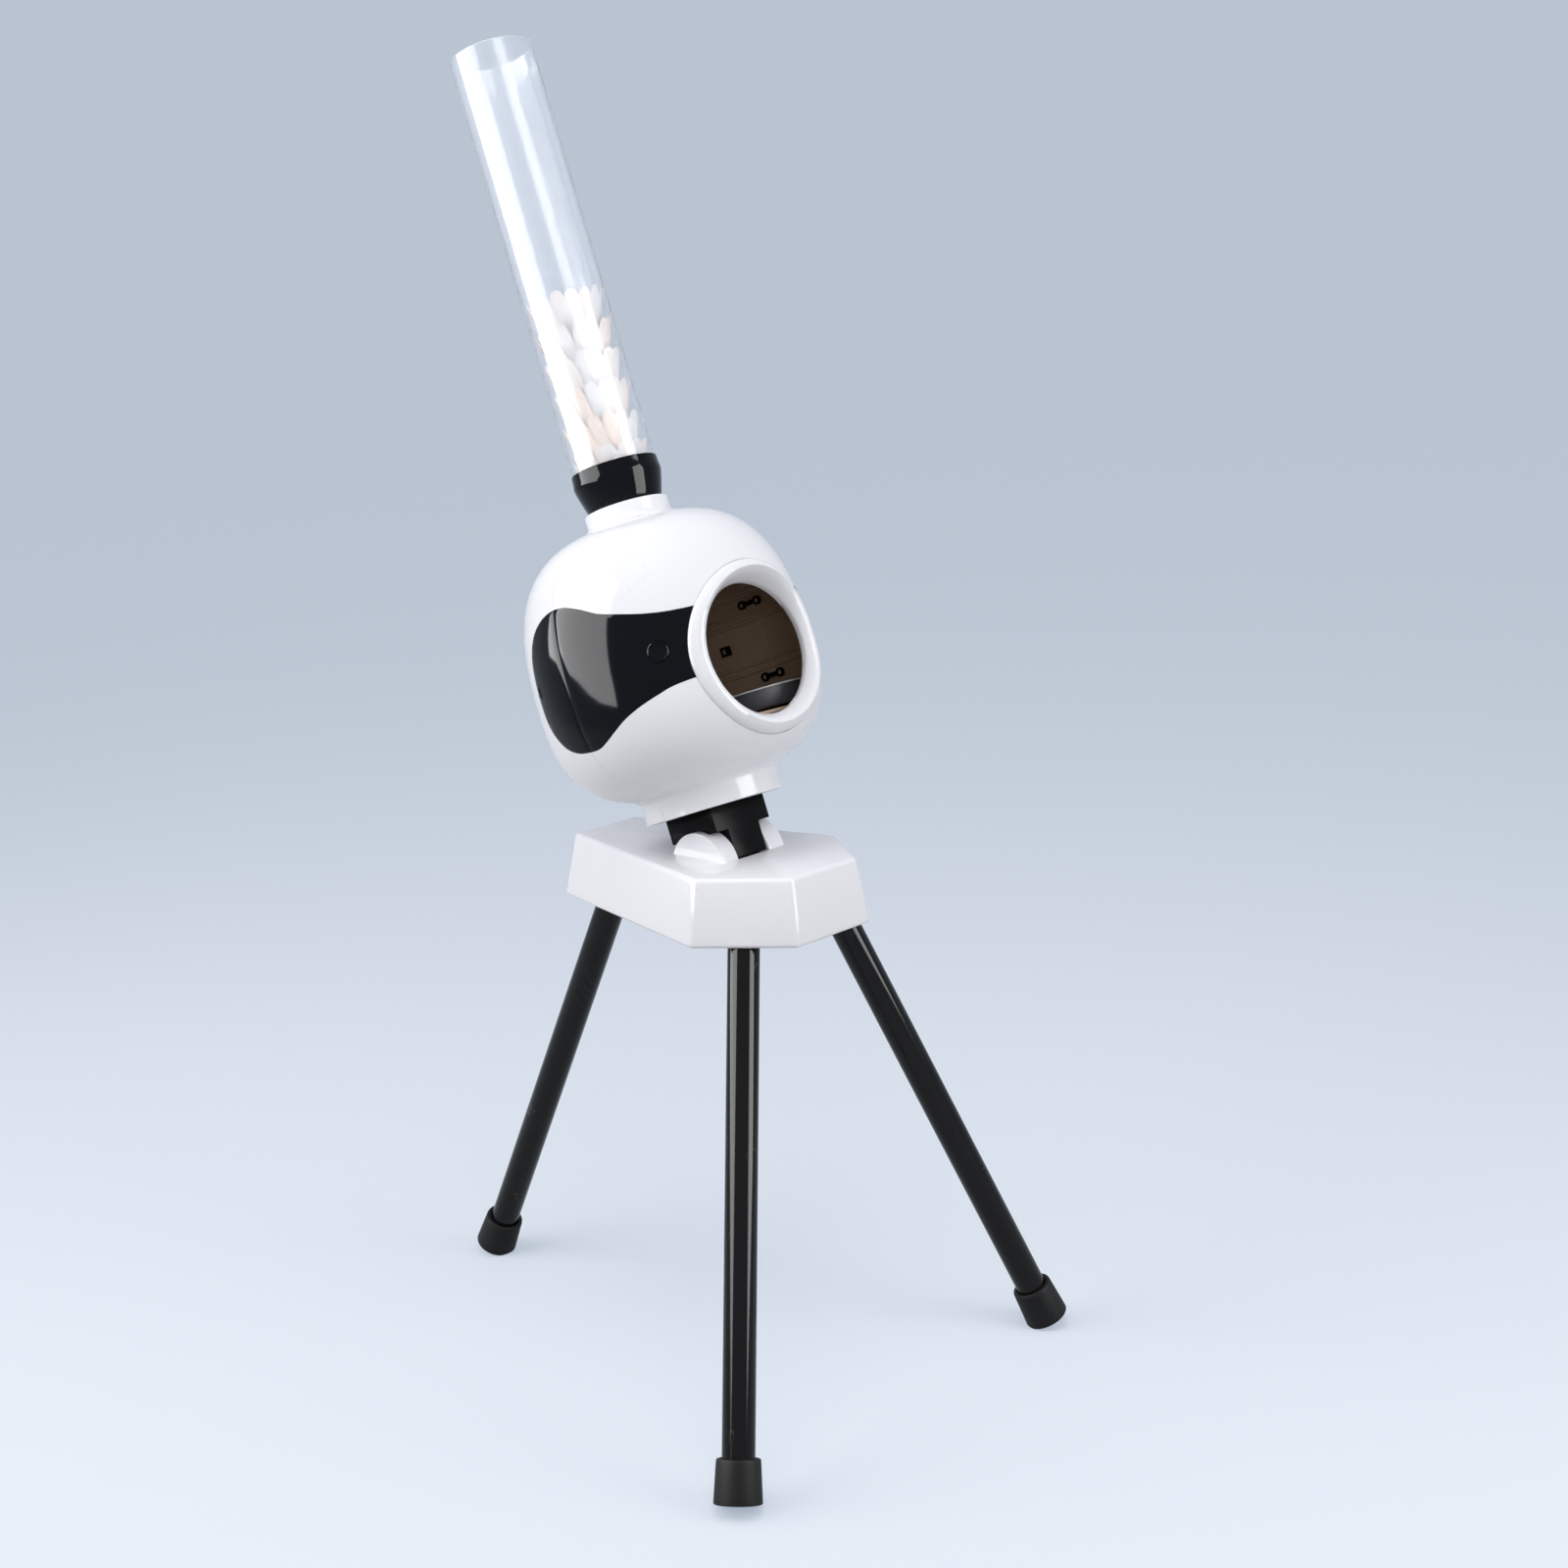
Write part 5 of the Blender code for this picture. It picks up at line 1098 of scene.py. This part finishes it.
def six_corners(grow):
    """The base's corners as seen from above, each side moved out."""
    corners = [Vector(corner) for corner in CORNERS]
    moved = []
    for before, point, after in with_neighbours(corners):
        sides = []
        for start, end in ((before, point), (point, after)):
            out = Vector(((end - start).y, -(end - start).x)).normalized()
            sides.append(-out if out.dot(point) < 0 else out)
        moved.append(point + (sides[0] + sides[1]) * grow / (1 + sides[0].dot(sides[1])))
    return moved


def six_sided(name, low_grow, low, high_grow, high):
    """A six-sided form between two heights, each end grown by its own amount."""
    bpy.ops.object.select_all(action="DESELECT")
    bpy.ops.mesh.primitive_circle_add(vertices=6, radius=0.1, fill_type="NGON")
    obj = name_new(name)
    for vertex, corner in zip(obj.data.vertices, six_corners(low_grow)):
        vertex.co = Vector((corner.x, corner.y, low))
    start_edit(obj)
    bpy.ops.mesh.extrude_region_move(TRANSFORM_OT_translate={"value": (0, 0, high - low)})
    end_edit()
    for vertex in obj.data.vertices:
        if vertex.co.z > (low + high) / 2:
            nearest = min(range(6), key=lambda i: (six_corners(low_grow)[i] - vertex.co.xy).length)
            vertex.co.xy = six_corners(high_grow)[nearest]
    return turn_faces_out(obj)


# %% The housing
housing = six_sided("housing", BASE_DRAFT, STAND_HEIGHT, 0, BASE_TOP)
bevel(housing, BASE_BEVEL, 6, 20)
lift = BASE_DRAFT * HOLLOW_PAST / BASE_HEIGHT
carve(housing, six_sided("hollow", BASE_DRAFT + lift - BASE_WALL, STAND_HEIGHT - HOLLOW_PAST,
                         BASE_DRAFT * BASE_WALL / BASE_HEIGHT - BASE_WALL, BASE_TOP - BASE_WALL))
print("the housing has", len(housing.data.polygons), "faces before its ears")

# %% [markdown]
# Two ears rise from the top and hold the hinge pin. They are discs that are sunk halfway into the
# base, with rounded rims, and are joined to it before the pin's hole is bored through both. The
# slot between them lets the bracket's tongue swing.

# %% Ears and slot
EAR_RADIUS, EAR_INNER, EAR_OUTER, PIN_COVER = 0.032, 0.0195, 0.039, 0.003
SLOT_FRONT, SLOT_REAR, SLOT_DEPTH, PIN_BORE, EAR_BEVEL = 0.0309, 0.0287, 0.020, 0.0043, 0.0012
for side in (-1, 1):
    ear = bar("ear", EAR_RADIUS, (side * EAR_INNER, -HINGE_AHEAD, hinge.z),
              (side * EAR_OUTER, -HINGE_AHEAD, hinge.z), 128)
    bevel(ear, EAR_BEVEL, 3, 40)
    carve(housing, ear, "UNION")
carve(housing, bar("pin_room", PIN_BORE, (PIN_COVER - EAR_OUTER, -HINGE_AHEAD, hinge.z),
                   (EAR_OUTER + 0.01, -HINGE_AHEAD, hinge.z), 48))
carve(housing, block("slot", (-EAR_INNER, -HINGE_AHEAD - SLOT_FRONT, hinge.z - SLOT_DEPTH),
                     (EAR_INNER, -HINGE_AHEAD + SLOT_REAR, BASE_TOP + 0.01)))
soften(housing, 25)
settle(housing, STAND)
dress(housing, white, "base_housing")

# %% [markdown]
# The bracket is a black block under the head. It arches over both ears, and its tongue goes down
# between them. The solid has the right shape, so its copy only needs its edges rounded.

# %% The bracket
BRACKET_BEVEL = 0.0007
copy_of("tilt_bracket", black_satin, BRACKET_BEVEL)

# %% [markdown]
# ## Legs and feet
#
# The legs are painted steel tubes, and each ends in a rubber cap. Both are turned upright and then
# laid along the line from the base to the foot. The cap has a thin lip above and a rounded rim
# below, and is pressed flat where it stands.

# %% Outlines of a leg and a foot
LEG_RADIUS, LEG_WALL, LEG_LENGTH = 0.0138, 0.0012, 0.500
FOOT_RADIUS, FOOT_NECK, FOOT_HEIGHT, FOOT_FLOOR, FOOT_PRESS = 0.0202, 0.0183, 0.036, 0.004, 0.0015
LEG_LINES = {
    "left": (Vector((-0.0597, -0.0771, STAND_HEIGHT)), Vector((-0.2113, -0.1889, 0))),
    "right": (Vector((0.0597, -0.0771, STAND_HEIGHT)), Vector((0.2113, -0.1889, 0))),
    "rear": (Vector((0, 0.140, STAND_HEIGHT)), Vector((0, 0.3537, 0))),
}
leg_outline = [(LEG_RADIUS - LEG_WALL, 0.0), (LEG_RADIUS - 0.0003, 0.0), (LEG_RADIUS, 0.0003)]
leg_outline += [(LEG_RADIUS, LEG_LENGTH - 0.0003), (LEG_RADIUS - 0.0003, LEG_LENGTH)]
leg_outline += [(LEG_RADIUS - LEG_WALL, LEG_LENGTH)]
hold = LEG_RADIUS + GAP
foot_outline = [(0, 0.0001), (FOOT_RADIUS - 0.0016, 0.0)]
foot_outline += arc((FOOT_RADIUS - 0.0012, 0.0012), 0.0012, -80, 0, 5)
foot_outline += [(FOOT_NECK + 0.0002, FOOT_HEIGHT - 0.0026), (FOOT_NECK, FOOT_HEIGHT - 0.0014)]
foot_outline += [(FOOT_NECK - 0.0004, FOOT_HEIGHT - 0.0005), (hold + 0.0022, FOOT_HEIGHT)]
foot_outline += [(hold + 0.0008, FOOT_HEIGHT), (hold, FOOT_HEIGHT - 0.0008)]
foot_outline += [(hold, FOOT_FLOOR - GAP), (0, FOOT_FLOOR - GAP)]
print("outlines:", len(leg_outline), "points for a leg and", len(foot_outline), "for a foot")

# %% Legs and feet
for name, (top, foot) in LEG_LINES.items():
    splay = math.atan2((foot.xy - top.xy).length, STAND_HEIGHT)
    foot = Vector((foot.x, foot.y, FOOT_RADIUS * math.sin(splay) - FOOT_PRESS))
    tip_over = Vector((0, 0, 1)).rotation_difference(top - foot).to_matrix().to_4x4()
    line = Matrix.Translation(foot) @ tip_over
    leg = turned(f"leg_tube_{name}", leg_outline, 64, 40)
    settle(leg, STAND @ line @ Matrix.Translation((0, 0, FOOT_FLOOR)))
    dress(leg, leg_paint, f"leg_{name}")
    cap = turned(f"foot_cap_{name}", foot_outline, 64, 40)
    settle(cap, STAND @ line)
    carve(cap, block("floor_tool", (-1, -1, -0.1), (1, 1, 0)))
    soften(cap, 40)
    dress(cap, rubber, f"foot_{name}")

# %% [markdown]
# ## What shows through the port
#
# Behind the port lie the flywheels on their deck. From outside each one is a smooth dark drum. Its top
# edge is a small turned lip, and the lip's faces get a pale second finish, a painted highlight of the
# light that catches that edge. The tyre's side is slightly crowned, as a real one is, so that a streak
# of light on it is soft at its ends.

# %% A tyre's outline
WHEEL_X, WHEEL_AHEAD, WHEEL_RADIUS = 0.058, 0.030, 0.046
WHEEL_TOP, WHEEL_THICKNESS = -0.031, 0.0185
HUB_RADIUS, TYRE_STEP = 0.034, 0.0009
CROWN, CROWN_STEPS, CROWN_TOP, CROWN_ENDS = 0.0006, 12, 0.0017, 0.0030
LIP, RIM_HIGHLIGHT_NEAR, RIM_HIGHLIGHT_WIDTH, SMALL_BEVEL = 0.0013, 0.0001, 0.0031, 0.0004
wheel_low = WHEEL_TOP - WHEEL_THICKNESS
tyre_outline = [(HUB_RADIUS + GAP, WHEEL_TOP - 0.0004), (WHEEL_RADIUS - 0.0030, WHEEL_TOP - 0.0004)]
tyre_outline += [(WHEEL_RADIUS - 0.0024, WHEEL_TOP), (WHEEL_RADIUS - 0.0006, WHEEL_TOP)]
tyre_outline += [(WHEEL_RADIUS, WHEEL_TOP - 0.0005), (WHEEL_RADIUS, WHEEL_TOP - LIP)]
tyre_outline += [(WHEEL_RADIUS - TYRE_STEP, WHEEL_TOP - LIP)]
for i in range(CROWN_STEPS + 1):
    share = i / CROWN_STEPS
    bulge = CROWN * (1 - (2 * share - 1) ** 2)
    tyre_outline.append((WHEEL_RADIUS - TYRE_STEP + bulge,
                         WHEEL_TOP - CROWN_TOP - (WHEEL_THICKNESS - CROWN_ENDS) * share))
tyre_outline += [(WHEEL_RADIUS - 0.0018, wheel_low), (HUB_RADIUS + GAP, wheel_low)]
print("the tyre's outline has", len(tyre_outline), "points")

# %% Flywheels
for side, word in ((-1, "left"), (1, "right")):
    tyre = turned(f"tyre_{word}", tyre_outline, 96, 30)
    tyre.data.materials.append(wheel_rubber)
    tyre.data.materials.append(rim_highlight_paint)
    # Painted highlight: the faces of the top lip get the pale finish.
    for face in tyre.data.polygons:
        high_up = face.center.z > WHEEL_TOP - LIP - RIM_HIGHLIGHT_NEAR
        if high_up and face.center.xy.length > WHEEL_RADIUS - RIM_HIGHLIGHT_WIDTH:
            face.material_index = 1
    settle(tyre, HEAD @ Matrix.Translation((side * WHEEL_X, -WHEEL_AHEAD, 0)))
    dress(tyre, None, f"flywheel_tyre_{word}")
    copy_of(f"flywheel_hub_{word}", black_satin, SMALL_BEVEL)
    copy_of(f"motor_{word}", steel)

# %% [markdown]
# Small black clips tie the shell's halves together at the seam. Each has a round end on either side
# of it with a hole. The solids have the outline, so their copies are used, and only the holes are
# carved here, as shallow wells whose bottom is painted the brown that stands for the shaded inner
# wall seen through a hole.

# %% The clips
CLIP_HOLE, CLIP_REACH, CLIP_HEIGHTS = 0.0023, 0.010, {"upper": 0.052, "lower": -0.017}
CLIP_AHEAD, CLIP_WELL, WELL_NEAR, WELL_SHARE = 0.002, 0.0012, (0.0008, 0.0014), 0.8
to_head = HEAD.inverted()
for side, word in ((-1, "left"), (1, "right")):
    for level, height in CLIP_HEIGHTS.items():
        clip = copy_of(f"shell_clip_{word}_{level}", black_satin, SMALL_BEVEL)
        face_at = min((to_head @ vertex.co).x * side for vertex in clip.data.vertices)
        clip.data.materials.append(inner_shade_brown)
        for end in (-1, 1):
            hole = bar("hole", CLIP_HOLE, (side * (face_at - CLIP_AHEAD), end * CLIP_REACH, height),
                       (side * (face_at + CLIP_WELL), end * CLIP_REACH, height), 32)
            settle(hole, HEAD)
            carve(clip, hole)
        # The middle of each well's bottom gets the painted-shade brown.
        for face in clip.data.polygons:
            at = to_head @ face.center
            deep = WELL_NEAR[0] < at.x * side - face_at < WELL_NEAR[1]
            if deep and abs(abs(at.y) - CLIP_REACH) < CLIP_HOLE * WELL_SHARE:
                face.material_index = 1 if abs(at.z - height) < CLIP_HOLE * WELL_SHARE else 0

# %% [markdown]
# The rest is hidden, or shows only as a dark corner behind the port. Modelling it again would
# change nothing that is seen, so it is copied from the solids. The deck takes the brown that paints
# the shade inside the head, and each other piece the finish of its real material.

# %% The other inner pieces
DECK_BEVEL, BOARD_BEVEL = 0.0005, 0.0002
# The deck is in the painted-shade brown of the inner wall.
copy_of("launch_deck", inner_shade_brown, DECK_BEVEL)
for node_name in ("feed_gate", "feed_servo", "pusher", "head_floor", "button_switch",
                  "battery_door", "base_plate", "leg_socket_left", "leg_socket_right",
                  "leg_socket_rear"):
    copy_of(node_name, black_satin)
for node_name in ("hinge_pin", "pusher_solenoid", "base_screw_1", "base_screw_2", "base_screw_3",
                  "base_screw_4"):
    copy_of(node_name, steel)
copy_of("control_board", board_green, BOARD_BEVEL)
copy_of("battery_pack", wrap_blue)

# %% [markdown]
# ## Studio
#
# The room is pale all round, but its light on the machine is kept low, so that the lamps can shape
# it. So the world has two colours: one for what the camera, gloss and clear plastic see, and a
# darker one that lights the machine.

# %% Room
PALE = (0.49, 0.55, 0.64)
ROOM_LIGHT = (0.35, 0.36, 0.385)


def seen_rays(tree):
    """1 for rays from the camera, from gloss and through clear plastic."""
    path = node(tree, "LightPath")
    seen = math_node(tree, "MAXIMUM", path.outputs["Is Camera Ray"], path.outputs["Is Glossy Ray"])
    return math_node(tree, "MAXIMUM", seen, path.outputs["Is Transmission Ray"])


world = bpy.data.worlds.new("studio_world")
bpy.context.scene.world = world
world.use_nodes = True
sky = world.node_tree
lights_machine = sky.nodes["Background"]
lights_machine.inputs["Color"].default_value = (*ROOM_LIGHT, 1)
is_seen = node(sky, "Background", Color=(*PALE, 1))
choice = node(sky, "MixShader")
sky.links.new(seen_rays(sky), choice.inputs[0])
sky.links.new(lights_machine.outputs[0], choice.inputs[1])
sky.links.new(is_seen.outputs[0], choice.inputs[2])
sky.links.new(choice.outputs[0], sky.nodes["World Output"].inputs["Surface"])
bpy.context.scene.view_settings.view_transform = "Standard"
print("room seen as", PALE, "and lighting as", ROOM_LIGHT)

# %% [markdown]
# The floor is a plain sheet, so large that its edge is out of sight. Lit alone it would be darker
# than the room, and its edge would show as a horizon. It adds a little light of its own to what is
# seen, so that it meets the room's colour far away and keeps the machine's shadow near by.

# %% Floor
FLOOR_PAINT, FLOOR_SIZE, FLOOR_DROP = (0.45, 0.45, 0.45), 160, 0.0005
floor_paint = bpy.data.materials.new("pale_floor")
floor_paint.use_nodes = True
floor_tree = floor_paint.node_tree
floor_shader = floor_tree.nodes["Principled BSDF"]
floor_shader.inputs["Base Color"].default_value = (*FLOOR_PAINT, 1)
floor_shader.inputs["Roughness"].default_value = 0.9
floor_shader.inputs["Specular IOR Level"].default_value = 0.0
own = tuple(pale - paint * light for pale, paint, light in zip(PALE, FLOOR_PAINT, ROOM_LIGHT))
floor_shader.inputs["Emission Color"].default_value = (*own, 1)
floor_tree.links.new(seen_rays(floor_tree), floor_shader.inputs["Emission Strength"])
floor_paint.cycles.emission_sampling = "NONE"
bpy.ops.object.select_all(action="DESELECT")
bpy.ops.mesh.primitive_plane_add(size=FLOOR_SIZE, location=(0, 0, -FLOOR_DROP))
floor = name_new("studio_floor")
floor.data.materials.append(floor_paint)
print("the floor glows with", [round(c, 3) for c in own])

# %% [markdown]
# The camera was fitted to the photograph: its place, the three directions that it is turned to, and
# its lens are those that put the machine's corners where the photograph has them. Moving a camera
# by eye would take longer and never quite match.

# %% Camera
CAMERA_PLACE = Vector((-1.3883, -1.4420, 0.9903))
CAMERA_RIGHT = Vector((0.6721, -0.7395, -0.0389))
CAMERA_UP = Vector((0.1942, 0.1253, 0.9729))
CAMERA_BACK = Vector((-0.7146, -0.6614, 0.2278))
FOCAL_PIXELS, PHOTO_PIXELS, SENSOR = 2325.52, 1600, 36.0
camera_data = bpy.data.cameras.new("photo_camera")
camera_data.lens = FOCAL_PIXELS / PHOTO_PIXELS * SENSOR
camera_data.sensor_width = SENSOR
camera = bpy.data.objects.new("photo_camera", camera_data)
bpy.context.scene.collection.objects.link(camera)
turn = Matrix((CAMERA_RIGHT, CAMERA_UP, CAMERA_BACK)).transposed().to_4x4()
camera.matrix_world = Matrix.Translation(CAMERA_PLACE) @ turn
bpy.context.scene.camera = camera
print("lens", round(camera_data.lens, 1), "mm")

# %% [markdown]
# Two upright soft panels stand left and right. Their places are read from the photograph's
# reflections: the left one starts 46 degrees from the camera and ends at 103, and its lower edge
# shows across the visor. Black plastic needs a bright panel to show such a clear reflection, but
# white plastic doesn't. So each panel is a pair of lamps: a mild one that lights, and 2 cm in front
# of it one that only shows in gloss. The tube has a second bright streak that nothing else in the
# photograph shows, so one gloss lamp is for the tube alone. A small weak panel near the camera
# fills the shadows that the camera looks into, such as those behind the port.

# %% How a panel is made
LAMP_AWAY, GLOSS_AWAY = 1.90, 1.88


def panel_light(name, angle, width, low, high, brightness, gloss_only=False):
    """An upright panel at an angle round the machine, counted from the camera towards the right."""
    to_camera = Vector((CAMERA_BACK.x, CAMERA_BACK.y, 0)).normalized()
    to_right = Vector((CAMERA_RIGHT.x, CAMERA_RIGHT.y, 0)).normalized()
    a = math.radians(angle)
    out = to_camera * math.cos(a) + to_right * math.sin(a)
    data = bpy.data.lights.new(name, "AREA")
    data.shape = "RECTANGLE"
    data.size, data.size_y = width, high - low
    data.energy = brightness * math.pi * width * (high - low)
    light = bpy.data.objects.new(name, data)
    bpy.context.scene.collection.objects.link(light)
    away = GLOSS_AWAY if gloss_only else LAMP_AWAY
    light.location = out * away + Vector((0, 0, (low + high) / 2))
    light.rotation_euler = out.to_track_quat("Z", "Y").to_euler()
    light.visible_diffuse = not gloss_only
    light.visible_glossy = gloss_only
    light.visible_transmission = not gloss_only
    spot = [round(c, 2) for c in light.location]
    print(name, "at", spot, "gives", round(data.energy, 1), "watts")
    return light


# %% The side panels
# Angle, width, lower edge and upper edge
LEFT_PANEL = (-74.5, 2.06, 0.46, 2.90)
RIGHT_PANEL = (64, 1.00, 0.30, 2.20)
TUBE_PANEL = (26, 1.1, 1.95, 3.0)
FRONT_PANEL = (6, 0.8, 0.9, 1.5)
panel_light("left_lamp", *LEFT_PANEL, 2.5)
panel_light("left_gloss", *LEFT_PANEL, 14.0, gloss_only=True)
panel_light("right_lamp", *RIGHT_PANEL, 2.7)
panel_light("right_gloss", *RIGHT_PANEL, 14.0, gloss_only=True)
tube_gloss = panel_light("tube_gloss", *TUBE_PANEL, 17.0, gloss_only=True)
tube_alone = bpy.data.collections.new("tube_alone")
tube_alone.objects.link(tube)
tube_gloss.light_linking.receiver_collection = tube_alone
panel_light("front_lamp", *FRONT_PANEL, 2.0)

# %% [markdown]
# A square panel over the machine, towards the camera, lights the dome and the base's top. It is
# made as the others are and is then lifted and laid flat.

# %% The top panel
TOP_SIZE, TOP_PLACE = 1.6, Vector((-0.6, -0.7, 2.5))
top = panel_light("top_lamp", 0, TOP_SIZE, 0, TOP_SIZE, 2.4)
top.location = TOP_PLACE
top.rotation_euler = (0, 0, 0)
